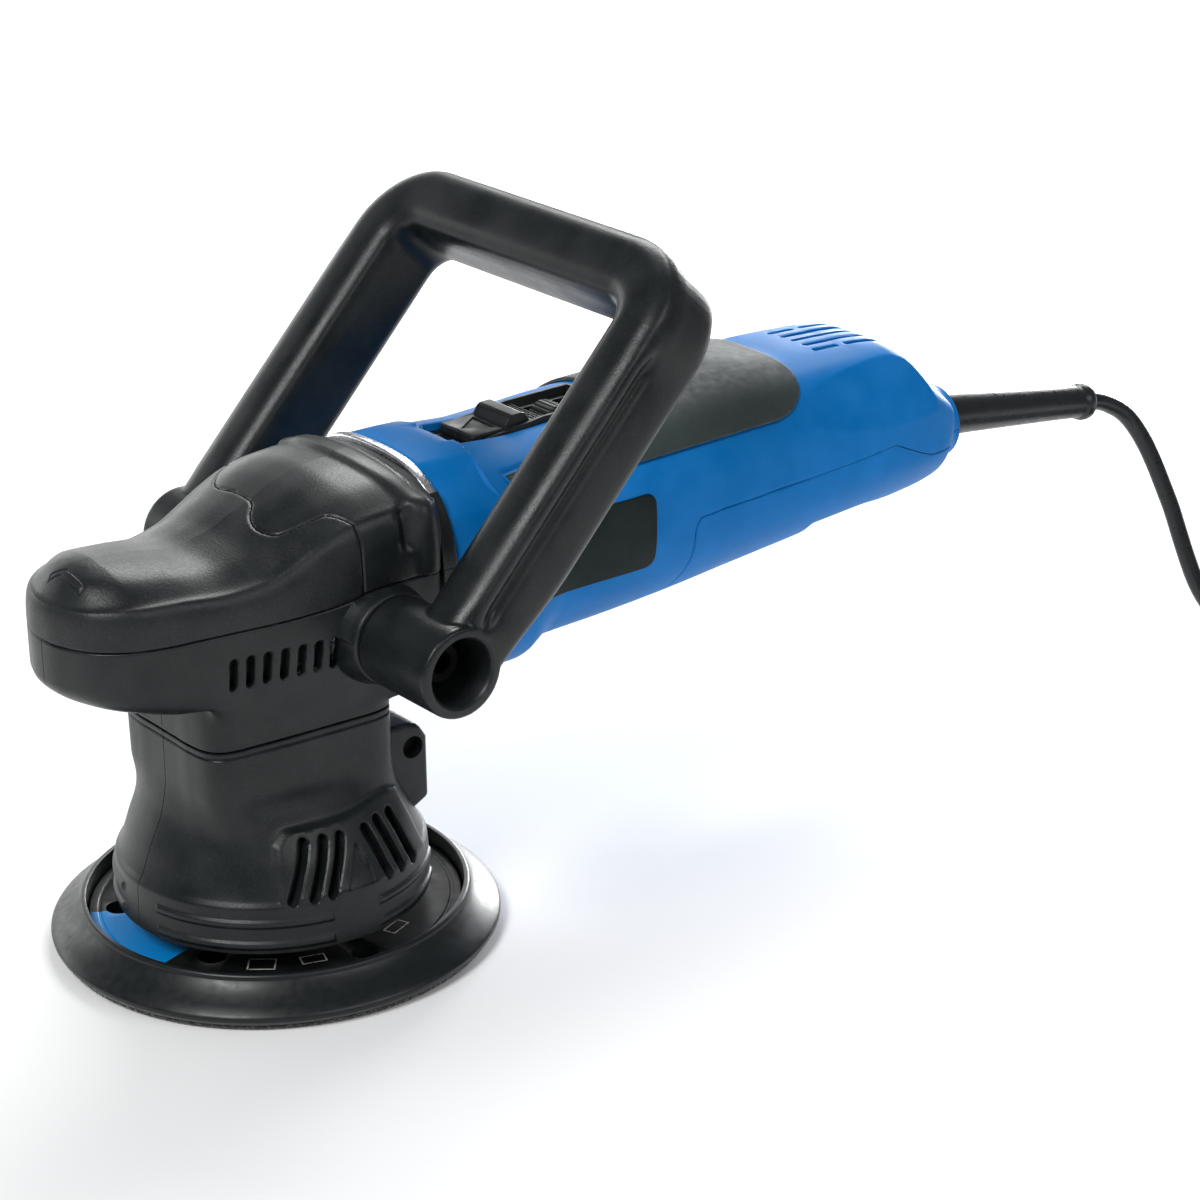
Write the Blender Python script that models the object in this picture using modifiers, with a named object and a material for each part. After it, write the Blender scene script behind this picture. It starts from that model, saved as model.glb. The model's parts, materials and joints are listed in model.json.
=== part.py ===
"""Dual action polisher with a tilting D-handle, as separate named sub-parts.

Frame: the origin is on the spindle axis in the plane that the backing pad stands on, +X runs from
the gear head to the cord, +Z is up, and y = 0 is the tool's mirror plane. Left is -Y, as the user
stands behind the tool. Sizes are in millimetres, and MM turns them into Blender's metres.
"""
import math

import bmesh
import bpy
from mathutils import Matrix, Vector

MM = 0.001

# --- driving dimensions -------------------------------------------------------------------------
GAP = 0.3                       # clearance between touching pieces
WALL = 2.6                      # plastic shells
MOTOR_Z = 121.0                 # height of the motor's axis
ORBIT = (2.5, 3.1)              # eccentric offset of the pad from the spindle, 4 mm long

PAD_RADIUS = 75.0
PAD_LIP_RADIUS = 65.0
PAD_LIP_TOP = 15.0
DISC_TOP = 10.0
FACING_THICK = 1.7
KEY_HOLE = 2.5                  # the pad bolt's hex key goes in here

HOOD_FOOT_Z = 18.0
HOOD_RADIUS = 52.0
NECK_Z = 84.0                   # joint between hood and gear head
HEAD_REAR_X = 45.0
FLANGE_X = (45.3, 49.0)
BARREL_X = 49.3

HANDLE_PIVOT = (21.0, 114.0)    # x, z
HANDLE_LEAN = math.radians(46.5)
HANDLE_REACH = 138.8            # pivot to the crossbar's centre
HANDLE_HALF = 71.7              # arm centres from the mirror plane
ARM_WIDE = 19.5                 # arm, across the handle's plane opening
BAR_WIDE = 24.0                 # crossbar, along the lean
GRIP_THICK = 30.5               # both, square to the handle's plane
GRIP_SET_BACK = 3.8             # section's centre behind the pivot's plane
BOSS_RADIUS = 15.0
BOSS_Y = (47.0, 82.0)

WHEEL_TEETH = 32
PINION_TEETH = 8
WHEEL_PITCH = 26.0
PINION_PITCH = WHEEL_PITCH * PINION_TEETH / WHEEL_TEETH

CORD_RADIUS = 3.5
COIL_CENTRE = (441.0, -96.0)
COIL_INNER = 28.0
COIL_OUTER = 56.0
COIL_Z = (1.1, 23.6)
TIE_ANGLE = 160.0
PLUG_CENTRE = (417.5, -127.5)

# --- materials: colour, roughness, metallic -----------------------------------------------------
MATERIALS = {
    "blue_housing": ((0.0, 0.13, 0.44), 0.38, 0.0),
    "black_housing": ((0.017, 0.022, 0.023), 0.5, 0.0),
    "rubber_grip": ((0.034, 0.05, 0.05), 0.7, 0.0),
    "label": ((0.01, 0.018, 0.018), 0.35, 0.0),
    "cast_aluminium": ((0.72, 0.74, 0.76), 0.35, 1.0),
    "steel": ((0.55, 0.55, 0.56), 0.3, 1.0),
    "laminated_steel": ((0.3, 0.3, 0.32), 0.45, 1.0),
    "copper": ((0.72, 0.33, 0.16), 0.35, 1.0),
    "brass": ((0.75, 0.56, 0.25), 0.35, 1.0),
    "carbon": ((0.04, 0.04, 0.04), 0.8, 0.0),
    "circuit": ((0.02, 0.12, 0.05), 0.5, 0.0),
    "pad_foam": ((0.014, 0.016, 0.017), 0.6, 0.0),
    "pad_disc": ((0.012, 0.014, 0.015), 0.4, 0.0),
    "hook_fabric": ((0.05, 0.05, 0.055), 0.95, 0.0),
    "cord_rubber": ((0.012, 0.013, 0.014), 0.55, 0.0),
}


# --- scene and object helpers -------------------------------------------------------------------
def clear_scene():
    for obj in list(bpy.data.objects):
        bpy.data.objects.remove(obj, do_unlink=True)


def make_collection(name):
    collection = bpy.data.collections.new(name)
    bpy.context.scene.collection.children.link(collection)
    return collection


def make_material(name):
    colour, roughness, metallic = MATERIALS[name]
    material = bpy.data.materials.get(name) or bpy.data.materials.new(name)
    material.use_nodes = True
    shader = material.node_tree.nodes["Principled BSDF"]
    shader.inputs["Base Color"].default_value = (*colour, 1.0)
    shader.inputs["Roughness"].default_value = roughness
    shader.inputs["Metallic"].default_value = metallic
    return material


def from_bmesh(name, bm, material=None):
    """Object from a bmesh: a sub-part if it has a material, else a cutter."""
    bm.normal_update()
    bmesh.ops.recalc_face_normals(bm, faces=bm.faces)
    mesh = bpy.data.meshes.new(name)
    bm.to_mesh(mesh)
    bm.free()
    obj = bpy.data.objects.new(name, mesh)
    if material is None:
        CUTTERS.objects.link(obj)
        obj.hide_render = True
        obj.display_type = "WIRE"
    else:
        PARTS.objects.link(obj)
        mesh.materials.append(make_material(material))
        mesh.shade_smooth()
        mesh.set_sharp_from_angle(angle=math.radians(35))
    return obj


def boolean(obj, operation, *others):
    for other in others:
        modifier = obj.modifiers.new(operation.lower(), "BOOLEAN")
        modifier.operation = operation
        modifier.solver = "EXACT"
        modifier.object = other
    return obj


def pivot_on(obj, point):
    """Move an object's origin to a point in millimetres, and leave its shape in place."""
    where = Vector(point) * MM
    obj.data.transform(Matrix.Translation(-where))
    obj.location = where
    return obj


# --- curves and outlines ------------------------------------------------------------------------
def slope(points, i):
    """Tangent at a point of a curve that never overshoots its points."""
    def step(k):
        return (points[k + 1][1] - points[k][1]) / (points[k + 1][0] - points[k][0])
    if i == 0:
        return step(0)
    if i == len(points) - 1:
        return step(i - 1)
    before, after = step(i - 1), step(i)
    if before * after <= 0:
        return 0.0
    return 2 * before * after / (before + after)


def smooth(points, x):
    """Height at x of the smooth curve through (x, height) points, flat beyond its ends."""
    if x <= points[0][0]:
        return points[0][1]
    if x >= points[-1][0]:
        return points[-1][1]
    i = max(k for k in range(len(points) - 1) if points[k][0] <= x)
    (x0, y0), (x1, y1) = points[i], points[i + 1]
    width = x1 - x0
    t = (x - x0) / width
    rise = 3 * t * t - 2 * t ** 3
    return (y0 * (1 - rise) + y1 * rise + slope(points, i) * width * (t - 2 * t * t + t ** 3)
            + slope(points, i + 1) * width * (t ** 3 - t * t))


def catmull(points, steps, closed=False):
    """Points on the Catmull-Rom curve through the given ones, with steps to each span."""
    count = len(points)
    spans = count if closed else count - 1
    result = []
    for i in range(spans):
        if closed:
            a, b, c, d = (Vector(points[(i + k) % count]) for k in (-1, 0, 1, 2))
        else:
            a, b, c, d = (Vector(points[min(max(i + k, 0), count - 1)]) for k in (-1, 0, 1, 2))
        for s in range(steps):
            t = s / steps
            result.append(0.5 * (2 * b + (c - a) * t + (2 * a - 5 * b + 4 * c - d) * t * t
                                 + (3 * b - a - 3 * c + d) * t ** 3))
    if not closed:
        result.append(Vector(points[-1]))
    return result


def mirrored(half):
    """Closed outline from its left half, which runs from the rear centre to the front centre."""
    return list(half) + [(x, -y) for x, y in reversed(half[1:-1])]


def rounded_box(half_width, half_height, radius, steps=3):
    """Outline of a rectangle with round corners."""
    points = []
    for quarter, (sx, sy) in enumerate(((1, 1), (-1, 1), (-1, -1), (1, -1))):
        for s in range(steps + 1):
            angle = math.radians(90) * (quarter + s / steps)
            points.append((sx * (half_width - radius) + radius * math.cos(angle),
                           sy * (half_height - radius) + radius * math.sin(angle)))
    return points


# --- solids -------------------------------------------------------------------------------------
def loft(name, rings, material=None):
    """Closed solid through rings of equally many points, with a flat cap on each end."""
    bm = bmesh.new()
    loops = [[bm.verts.new(Vector(point) * MM) for point in ring] for ring in rings]
    for lower, upper in zip(loops, loops[1:]):
        for i in range(len(lower)):
            j = (i + 1) % len(lower)
            bm.faces.new((lower[i], lower[j], upper[j], upper[i]))
    bm.faces.new(loops[0])
    bm.faces.new(loops[-1])
    bmesh.ops.remove_doubles(bm, verts=bm.verts, dist=0.00001)
    return from_bmesh(name, bm, material)


def prism(name, outline, axis, low, high, material=None):
    """Flat outline pushed along an axis: (x, z) points along Y, (x, y) along Z, (y, z) along X."""
    def place(point, along):
        a, b = point
        return {"x": (along, a, b), "y": (a, along, b), "z": (a, b, along)}[axis]
    return loft(name, [[place(p, low) for p in outline], [place(p, high) for p in outline]], material)


def block(name, low, high, material=None, bevel=0.0):
    """Box between two corners, with its upright and flat edges rounded if a bevel is given."""
    low, high = Vector(low), Vector(high)
    bm = bmesh.new()
    bmesh.ops.create_cube(bm, size=1.0)
    for vert in bm.verts:
        vert.co = Vector(((vert.co[k] + 0.5) * (high[k] - low[k]) + low[k]) * MM for k in range(3))
    if bevel:
        bmesh.ops.bevel(bm, geom=bm.edges[:], offset=bevel * MM, segments=2, affect="EDGES", profile=0.5)
    return from_bmesh(name, bm, material)


def blocks(name, corners):
    """Cutter of several separate boxes, each between two corners."""
    bm = bmesh.new()
    for low, high in corners:
        low, high = Vector(low) * MM, Vector(high) * MM
        cube = bmesh.ops.create_cube(bm, size=1.0)
        for vert in cube["verts"]:
            vert.co = Vector((vert.co[k] + 0.5) * (high[k] - low[k]) + low[k] for k in range(3))
    return from_bmesh(name, bm)


def rod(name, radius, start, end, material=None, segments=24, radius_end=None):
    """Round bar or cone between two points."""
    start, end = Vector(start) * MM, Vector(end) * MM
    bm = bmesh.new()
    bmesh.ops.create_cone(bm, cap_ends=True, segments=segments, radius1=radius * MM,
                          radius2=(radius if radius_end is None else radius_end) * MM,
                          depth=(end - start).length)
    turn = (end - start).to_track_quat("Z", "X").to_matrix().to_4x4()
    bm.transform(Matrix.Translation((start + end) / 2) @ turn)
    return from_bmesh(name, bm, material)


def turned(name, profile, material=None, steps=32, axis="Z", centre=(0, 0, 0)):
    """Turned solid: (radius, height) points run down the outer side, and a ring closes on itself."""
    closed = profile[0][0] > 0
    mesh = bpy.data.meshes.new(name)
    count = len(profile)
    edges = [(i, i + 1) for i in range(count - 1)] + ([(count - 1, 0)] if closed else [])
    mesh.from_pydata([(r * MM, 0, z * MM) for r, z in profile], edges, [])
    obj = bpy.data.objects.new(name, mesh)
    if material is None:
        CUTTERS.objects.link(obj)
        obj.hide_render = True
        obj.display_type = "WIRE"
    else:
        PARTS.objects.link(obj)
        mesh.materials.append(make_material(material))
    screw = obj.modifiers.new("turn", "SCREW")
    screw.steps = steps
    screw.render_steps = steps
    screw.use_merge_vertices = True
    screw.merge_threshold = 0.00001
    if axis == "X":
        obj.rotation_euler = (0, math.radians(90), 0)
    if axis == "Y":
        obj.rotation_euler = (math.radians(-90), 0, 0)
    obj.location = Vector(centre) * MM
    return obj


def tube(name, points, radius, material, resolution=2, closed=False):
    """Round bar along points in millimetres."""
    curve = bpy.data.curves.new(name, "CURVE")
    curve.dimensions = "3D"
    curve.bevel_depth = radius * MM
    curve.bevel_resolution = resolution
    curve.use_fill_caps = not closed
    spline = curve.splines.new("POLY")
    spline.points.add(len(points) - 1)
    for point, place in zip(spline.points, points):
        point.co = (*(Vector(place) * MM), 1.0)
    spline.use_cyclic_u = closed
    curve.materials.append(make_material(material))
    obj = bpy.data.objects.new(name, curve)
    PARTS.objects.link(obj)
    return obj


# --- backing pad --------------------------------------------------------------------------------
def backing_pad():
    pad = turned("backing_pad", [(62.8, PAD_LIP_TOP), (PAD_LIP_RADIUS, PAD_LIP_TOP), (74.4, 7.0),
                                 (PAD_RADIUS, 5.2), (73.2, 2.0), (12.0, 2.0), (12.0, 5.2),
                                 (62.5, 5.2)], "pad_foam", steps=36)
    pad.location = (ORBIT[0] * MM, ORBIT[1] * MM, 0)
    plate = turned("pad_plate", [(62.0, DISC_TOP), (62.0, 5.5), (12.0, 5.5), (12.0, DISC_TOP)],
                   "pad_disc", steps=30)
    plate.location = pad.location
    for i in range(6):
        angle = math.radians(28 + 60 * i)
        x = ORBIT[0] + 57.0 * math.cos(angle)
        y = ORBIT[1] + 57.0 * math.sin(angle)
        boolean(plate, "DIFFERENCE", rod(f"pad_hole_{i}", 3.4, (x, y, 0), (x, y, 20), segments=8))
    facing = turned("hook_facing", [(72.6, FACING_THICK), (72.6, 0.0), (KEY_HOLE, 0.0),
                                    (KEY_HOLE, FACING_THICK)], "hook_fabric", steps=36)
    facing.location = pad.location
    hub = turned("pad_hub", [(0, 46.0), (5.0, 46.0), (5.0, 30.0), (14.0, 26.0), (14.0, 10.3), (11.5, 10.3),
                             (11.5, 8.0), (4.4, 8.0), (4.4, 30.0), (0, 30.0)], "steel", steps=20)
    hub.location = pad.location
    bolt = turned("pad_bolt", [(0, 29.0), (4.0, 29.0), (4.0, 7.6), (8.0, 7.6), (8.0, 2.6), (3.4, 2.6),
                               (3.4, 5.2), (0, 5.2)], "steel", steps=16)
    bolt.location = pad.location


# --- eccentric drive ----------------------------------------------------------------------------
def bearing(name, outer, bore, low, high, axis="Z", centre=(0, 0, 0)):
    """Ball bearing: its rings, balls and shields as one plain ring."""
    profile = [(outer, high), (outer, low), (bore, low), (bore, high)]
    return turned(name, profile, "steel", steps=20, axis=axis, centre=centre)


def drive():
    ox, oy = ORBIT
    away = math.atan2(-oy, -ox)
    hub = rod("eccentric_hub", 20.5, (0, 0, 36), (0, 0, 57.7), "cast_aluminium", segments=28)
    boolean(hub, "DIFFERENCE",
            rod("pad_bearing_seat", 14.3, (ox, oy, 30), (ox, oy, 48.5), segments=24),
            rod("hub_bore", 6.4, (0, 0, 47), (0, 0, 60), segments=16))
    bearing("pad_bearing", 13.9, 5.4, 37.0, 46.0, centre=(ox, oy, 0))
    sweep = [away + math.radians(a) for a in range(-78, 79, 12)]
    outline = [(34.0 * math.cos(a), 34.0 * math.sin(a)) for a in sweep]
    outline += [(20.9 * math.cos(a), 20.9 * math.sin(a)) for a in reversed(sweep)]
    prism("counterweight", outline, "z", 36.0, 50.0, "steel")
    turned("spindle", [(0, 116.6), (6.0, 116.6), (6.0, 104.4), (8.0, 104.4), (8.0, 100.2),
                       (6.0, 100.2), (6.0, 49.0), (0, 49.0)], "steel", steps=16)
    bearing("spindle_bearing_upper", 16.0, 6.4, 90.3, 99.3)
    bearing("spindle_bearing_lower", 16.0, 6.4, 68.3, 77.3)


def bevel_gear(name, teeth, pitch, other_pitch, inward, back, bore, material):
    """Straight bevel gear about +Z with its cone's apex at the origin and its teeth at z < 0.

    Each tooth is four points on the pitch cone's outer end, and the inner end is the same outline
    drawn towards the apex. The pitch circle lies at z = -other_pitch. The bore and the back have
    one point to each tooth.
    """
    cone = Vector((pitch, -other_pitch)).normalized()
    normal = Vector((-cone.y, cone.x))
    tip = Vector((pitch, -other_pitch)) + normal * 1.0
    root = Vector((pitch, -other_pitch)) - normal * 1.4
    share = 2 * math.pi / teeth

    def circle(bm, radius, z):
        angles = [share * i for i in range(teeth)]
        return [bm.verts.new(Vector((radius * math.cos(a), radius * math.sin(a), z)) * MM) for a in angles]

    bm = bmesh.new()
    outer, inner = [], []
    for i in range(teeth):
        for place, turn in ((root, -0.27), (tip, -0.14), (tip, 0.14), (root, 0.27)):
            angle = share * (i + 0.5 + turn)
            point = Vector((place.x * math.cos(angle), place.x * math.sin(angle), place.y)) * MM
            outer.append(bm.verts.new(point))
            inner.append(bm.verts.new(point * inward))
    front_bore = circle(bm, bore, root.y * inward)
    back_bore = circle(bm, bore, back)
    back_rim = circle(bm, root.x - 1.5, back)
    for first, second in ((inner, outer), (back_rim, back_bore), (back_bore, front_bore)):
        count = len(first)
        for i in range(count):
            j = (i + 1) % count
            bm.faces.new((first[i], first[j], second[j], second[i]))
    for ring, rim in ((inner, front_bore), (outer, back_rim)):
        for i in range(teeth):
            start, after = 4 * i, (i + 1) % teeth
            for k in range(3):
                corner = rim[i] if k < 2 else rim[after]
                bm.faces.new((ring[start + k], ring[start + k + 1], corner))
            bm.faces.new((ring[start + 2], rim[i], rim[after]))
            bm.faces.new((ring[start + 3], ring[(start + 4) % len(ring)], rim[after]))
    return from_bmesh(name, bm, material)


def gears():
    wheel = bevel_gear("bevel_wheel", WHEEL_TEETH, WHEEL_PITCH, PINION_PITCH, 0.78, -15.0, 6.4, "steel")
    wheel.location = (0, 0, MOTOR_Z * MM)
    pinion = bevel_gear("pinion", PINION_TEETH, PINION_PITCH, WHEEL_PITCH, 0.74, -31.0, 3.4, "steel")
    half_tooth = Matrix.Rotation(math.radians(180 / PINION_TEETH), 4, "Z")
    pinion.data.transform(Matrix.Rotation(math.radians(-90), 4, "Y") @ half_tooth)
    pinion.location = (0, 0, MOTOR_Z * MM)


# --- motor --------------------------------------------------------------------------------------
def motor():
    axis = (0, 0, MOTOR_Z)
    rod("armature_shaft", 3.0, (18.0, 0, MOTOR_Z), (142.0, 0, MOTOR_Z), "steel", segments=14)
    slots = []
    for i in range(12):
        for radius, turn in ((18.4, -0.36), (18.4, 0.36), (13.5, 0.42), (13.5, 0.58)):
            angle = math.radians(30) * (i + turn)
            slots.append((radius * math.cos(angle), MOTOR_Z + radius * math.sin(angle)))
    core = prism("armature_core", slots, "x", 73.0, 104.0, "laminated_steel")
    shaft_hole = rod("core_bore", 3.4, (60, 0, MOTOR_Z), (120, 0, MOTOR_Z), segments=14)
    boolean(core, "DIFFERENCE", shaft_hole)
    turned("commutator", [(11.0, 128.0), (11.0, 117.5), (12.5, 117.5), (12.5, 114.0), (3.4, 114.0),
                          (3.4, 128.0)], "copper", steps=20, axis="X", centre=axis)
    fan = turned("cooling_fan", [(9.0, 64.5), (9.0, 60.5), (32.0, 60.5), (32.0, 59.0), (3.4, 59.0),
                                 (3.4, 64.5)], "black_housing", steps=24, axis="X", centre=axis)
    for i in range(7):
        blade = block(f"fan_blade_{i}", (59.8, 8.0, -0.7), (64.8, 31.0, 0.7))
        blade.data.transform(Matrix.Rotation(2 * math.pi * i / 7, 4, "X"))
        blade.location = Vector(axis) * MM
        boolean(fan, "UNION", blade)
    bearing("armature_bearing_front", 13.0, 3.4, 50.3, 57.7, "X", axis)
    bearing("armature_bearing_rear", 11.0, 3.4, 134.5, 141.5, "X", axis)

    ring = turned("stator_core", [(31.0, 106.0), (31.0, 71.0), (19.6, 71.0), (19.6, 106.0)],
                  "laminated_steel", steps=32, axis="X", centre=axis)
    for side in (-1, 1):
        pocket = block(f"coil_window_{side}", (60, side * 22.0 - 4.5, MOTOR_Z - 14.6),
                       (120, side * 22.0 + 4.5, MOTOR_Z + 14.6))
        boolean(ring, "DIFFERENCE", pocket)
    for name, side in (("field_coil_upper", 1), ("field_coil_lower", -1)):
        arc = [math.radians(a) for a in range(-60, 61, 15)]
        front = [(68.0, 23.6 * math.sin(a), MOTOR_Z + side * 23.6 * math.cos(a)) for a in arc]
        rear = [(109.0, y, z) for x, y, z in reversed(front)]
        tube(name, front + rear, 2.4, "copper", closed=True)
    bridge = turned("rear_bearing_bridge", [(31.0, 143.5), (31.0, 133.0), (12.5, 133.0), (12.5, 134.2),
                                            (11.4, 134.2), (11.4, 143.5)], "black_housing", steps=20,
                    axis="X", centre=axis)
    for angle in (45, 135, 225, 315):
        a = math.radians(angle)
        y, z = 22 * math.cos(a), MOTOR_Z + 22 * math.sin(a)
        boolean(bridge, "DIFFERENCE", rod(f"bridge_hole_{angle}", 6.0, (125, y, z), (150, y, z), segments=8))
    for name, side in (("left", -1), ("right", 1)):
        holder = block(f"brush_holder_{name}", (117.2, side * 30.0, MOTOR_Z - 6.2),
                       (128.0, side * 13.4, MOTOR_Z + 6.2), "brass")
        boolean(holder, "DIFFERENCE", block(f"brush_pocket_{name}", (119.0, side * 28.5, MOTOR_Z - 4.6),
                                            (126.2, side * 10.0, MOTOR_Z + 4.6)))
        block(f"carbon_brush_{name}", (119.4, side * 11.5, MOTOR_Z - 4.2),
              (125.8, side * 27.0, MOTOR_Z + 4.2), "carbon")


def gear_case():
    """Aluminium casting that holds the spindle's bearings and opens towards the motor."""
    case = turned("gear_case", [(0, 136.5), (27.0, 136.5), (30.8, 132.0), (30.8, 101.0), (20.0, 97.0),
                                (20.0, 66.0), (0, 66.0)], "cast_aluminium", steps=28)
    nose = prism("case_nose", [(y, z + MOTOR_Z) for y, z in rounded_box(29.0, 14.0, 12.0)],
                 "x", 10.0, HEAD_REAR_X - GAP)
    cavity = turned("case_cavity", [(0, 133.8), (25.5, 133.8), (28.2, 130.5), (28.2, 102.5), (9.6, 102.5),
                                    (9.6, 99.7), (16.4, 99.7), (16.4, 89.8), (9.6, 89.8), (9.6, 77.8),
                                    (16.4, 77.8), (16.4, 60.0), (0, 60.0)], steps=28)
    mouth = prism("case_mouth", [(y, z + MOTOR_Z) for y, z in rounded_box(26.0, 11.2, 9.5)],
                  "x", 5.0, 60.0)
    return boolean(boolean(case, "UNION", nose), "DIFFERENCE", cavity, mouth)


# --- blue motor housing -------------------------------------------------------------------------
BODY_HALF_WIDTH = [(45, 41.0), (62, 42.0), (80, 41.5), (97, 39.7), (120, 39.5), (150, 38.5), (180, 37.3),
                   (215, 36.0), (245, 34.0), (262, 31.6), (274, 28.6), (283, 25.3), (289, 20.4),
                   (292.5, 15.0)]
BODY_TOP = [(45, 160.6), (62, 160.2), (97, 158.0), (150, 159.0), (180, 160.0), (215, 160.0), (245, 158.2),
            (258, 155.5), (268, 150.0), (278, 141.5), (286, 132.5), (292.5, 124.0)]
BODY_BOTTOM = [(45, 81.0), (62, 76.8), (86, 75.2), (98, 81.2), (120, 81.8), (150, 83.2), (180, 85.5),
               (215, 88.2), (245, 90.4), (262, 91.4), (274, 92.8), (283, 95.0), (289, 97.5), (292.5, 99.0)]
NECK_RADIUS = 13.5
NECK_Z_REAR = 111.0
SEAM_LOWER = [(146.0, 60.0), (146.5, 100.0), (148.0, 110.0), (151.0, 117.0), (157.0, 119.5), (255.0, 119.5),
              (266.0, 117.0), (276.0, 112.5), (284.0, NECK_Z_REAR), (320.0, NECK_Z_REAR)]


def body_ring(x, grow, count):
    """Section of the motor housing at x: flattened on top, rounder below."""
    half = smooth(BODY_HALF_WIDTH, x) + grow
    top, bottom = smooth(BODY_TOP, x) + grow, smooth(BODY_BOTTOM, x) - grow
    middle = MOTOR_Z
    points = []
    for i in range(count):
        angle = 2 * math.pi * (i + 0.5) / count
        c, s = math.cos(angle), math.sin(angle)
        power = 2 / 2.7 if s > 0 else 2 / 2.15
        height = top - middle if s > 0 else middle - bottom
        points.append((x, math.copysign(abs(c) ** power, c) * half,
                       middle + math.copysign(abs(s) ** power, s) * height))
    return points


def body_form(name, grow, start, end=292.5, count=28, material=None):
    stations = [x for x in (62, 80, 89, 98, 120, 150, 180, 215, 245, 262, 274, 283, 289)
                if start + 2 < x < end - 2]
    return loft(name, [body_ring(x, grow, count) for x in [start] + stations + [end]], material)


def seam_band(name, lower):
    """Region of the rear cover: under its side seam, or a little above the seam for the cut."""
    shift = -GAP / 2 if lower else GAP / 2
    edge = [(x - shift if z < 117 and x < 160 else x, z + shift) for x, z in SEAM_LOWER]
    return prism(name, edge + [(320.0, 60.0)], "y", -60, 60)


def rear_neck(name, material=None):
    return rod(name, NECK_RADIUS, (284.0, 0, NECK_Z_REAR), (308.0, 0, NECK_Z_REAR), material)


RELIEF_START = Vector((297.0, 0, 113.29))
RELIEF_END = Vector((381.8, 0, 99.8))


def motor_housing():
    """Blue barrel with its rear dome, open at the front, with the rear cover's share cut away."""
    housing = body_form("motor_housing", 0.0, BARREL_X, material="blue_housing")
    hollow = body_form("housing_hollow", -WALL, BARREL_X - 5, 289.5, 20)
    relief = (RELIEF_END - RELIEF_START).normalized()
    bore = rod("relief_bore", 8.4, RELIEF_START - relief * 20, RELIEF_START + relief * 20, segments=18)
    boolean(housing, "UNION", rear_neck("neck_upper"))
    boolean(housing, "DIFFERENCE", hollow, bore, seam_band("rear_cut", False),
            block("switch_opening", (73.7, -11.3, 140), (135.7, 11.3, 170)))
    cover = body_form("rear_lower_cover", 0.0, 120.0, material="blue_housing")
    boolean(cover, "UNION", rear_neck("neck_lower"))
    boolean(cover, "DIFFERENCE", hollow, bore)
    boolean(cover, "INTERSECT", seam_band("rear_keep", True))


def grip_overmould():
    """Rubber saddle: a strip on each side of the switch that widens over the top behind it."""
    side = [(75.0, 144.5), (206.0, 144.5), (213.0, 147.0), (217.0, 152.0), (218.0, 158.0), (218.0, 175.0),
            (141.0, 175.0), (139.0, 158.0), (136.0, 151.5), (75.0, 151.0)]
    grip = body_form("grip_overmould", 1.4, 70.0, 230.0, material="rubber_grip")
    boolean(grip, "INTERSECT", prism("grip_region", side, "y", -60, 60))
    boolean(grip, "DIFFERENCE", body_form("grip_hollow", GAP, 60.0, 240.0))
    for name, low, high in (("left", -60, -10), ("right", 10, 60)):
        plate = body_form(f"label_plate_{name}", 0.9, 70.0, 150.0, material="label")
        window = [(x + 106.7, z + 120.5) for x, z in rounded_box(26.7, 13.5, 4.0, 2)]
        boolean(plate, "INTERSECT", prism(f"label_region_{name}", window, "y", low, high))
        boolean(plate, "DIFFERENCE", body_form(f"label_back_{name}", GAP, 60.0, 160.0))


def switch():
    """Slide switch in its tray, with the speed dial behind it and the power switch below."""
    tray = block("switch_bezel", (74.0, -11.0, 152.9), (135.4, 11.0, 159.6), "black_housing")
    boolean(tray, "DIFFERENCE", block("tray_pocket", (75.2, -9.8, 154.0), (134.2, 9.8, 170)),
            block("dial_window", (110.6, -5.6, 150), (127.4, 5.6, 170)),
            block("peg_slot", (122.6, 6.4, 150), (132.2, 9.3, 170)))
    slider = block("switch_slider", (80.2, -9.3, 154.4), (109.8, 9.3, 157.4), "black_housing", 0.5)
    ridge = prism("slider_ridge", [(94.0, 156.0), (96.0, 161.6), (101.5, 161.6), (104.5, 156.0)],
                  "y", -8.8, 8.8)
    boolean(slider, "UNION", ridge, block("slider_tongue", (105.0, 6.8, 154.5), (131.6, 8.9, 156.2)),
            block("slider_peg", (128.6, 6.9, 148.2), (131.4, 8.8, 155.0)))
    block("power_switch", (118.0, 6.4, 137.5), (132.0, 18.0, 147.8), "black_housing", 0.6)
    turned("speed_dial", [(0, 5.0), (6.2, 5.0), (7.0, 4.3), (7.0, -4.3), (6.2, -5.0), (0, -5.0)],
           "black_housing", steps=20, axis="Y", centre=(119.0, 0, 151.6))
    block("control_module", (150.0, -15.0, 96.0), (205.0, 15.0, 110.0), "circuit", 0.8)
    block("cord_clamp", (256.0, -13.0, 106.0), (266.0, 13.0, 111.0), "black_housing", 0.8)


# --- gear head ----------------------------------------------------------------------------------
# Left half of each plan outline, from the rear centre to the front centre. The two match point by
# point, and the third list says between which heights each point moves from the neck to the nose.
NECK_PLAN = [(30, 0), (30, -20), (29, -29.5), (22, -33), (8, -32.5), (-8, -31.5), (-22, -30.3),
             (-32, -28.8), (-37, -24), (-38.5, -15), (-38.5, -7), (-38.5, 0)]
HEAD_PLAN = [(45, 0), (45, -24), (45, -39.5), (34, -40.5), (15, -39.8), (-6, -37.5), (-25, -34),
             (-43, -31.2), (-60, -28.6), (-71.8, -20.4), (-77.4, -9.5), (-78.8, 0)]
PLAN_RISE = [(86, 91)] * 3 + [(84, 124)] * 4 + [(90, 111), (93.5, 107.5), (94, 107), (94, 107), (94, 107)]
SPINE_FRONT = -60.0

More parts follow.
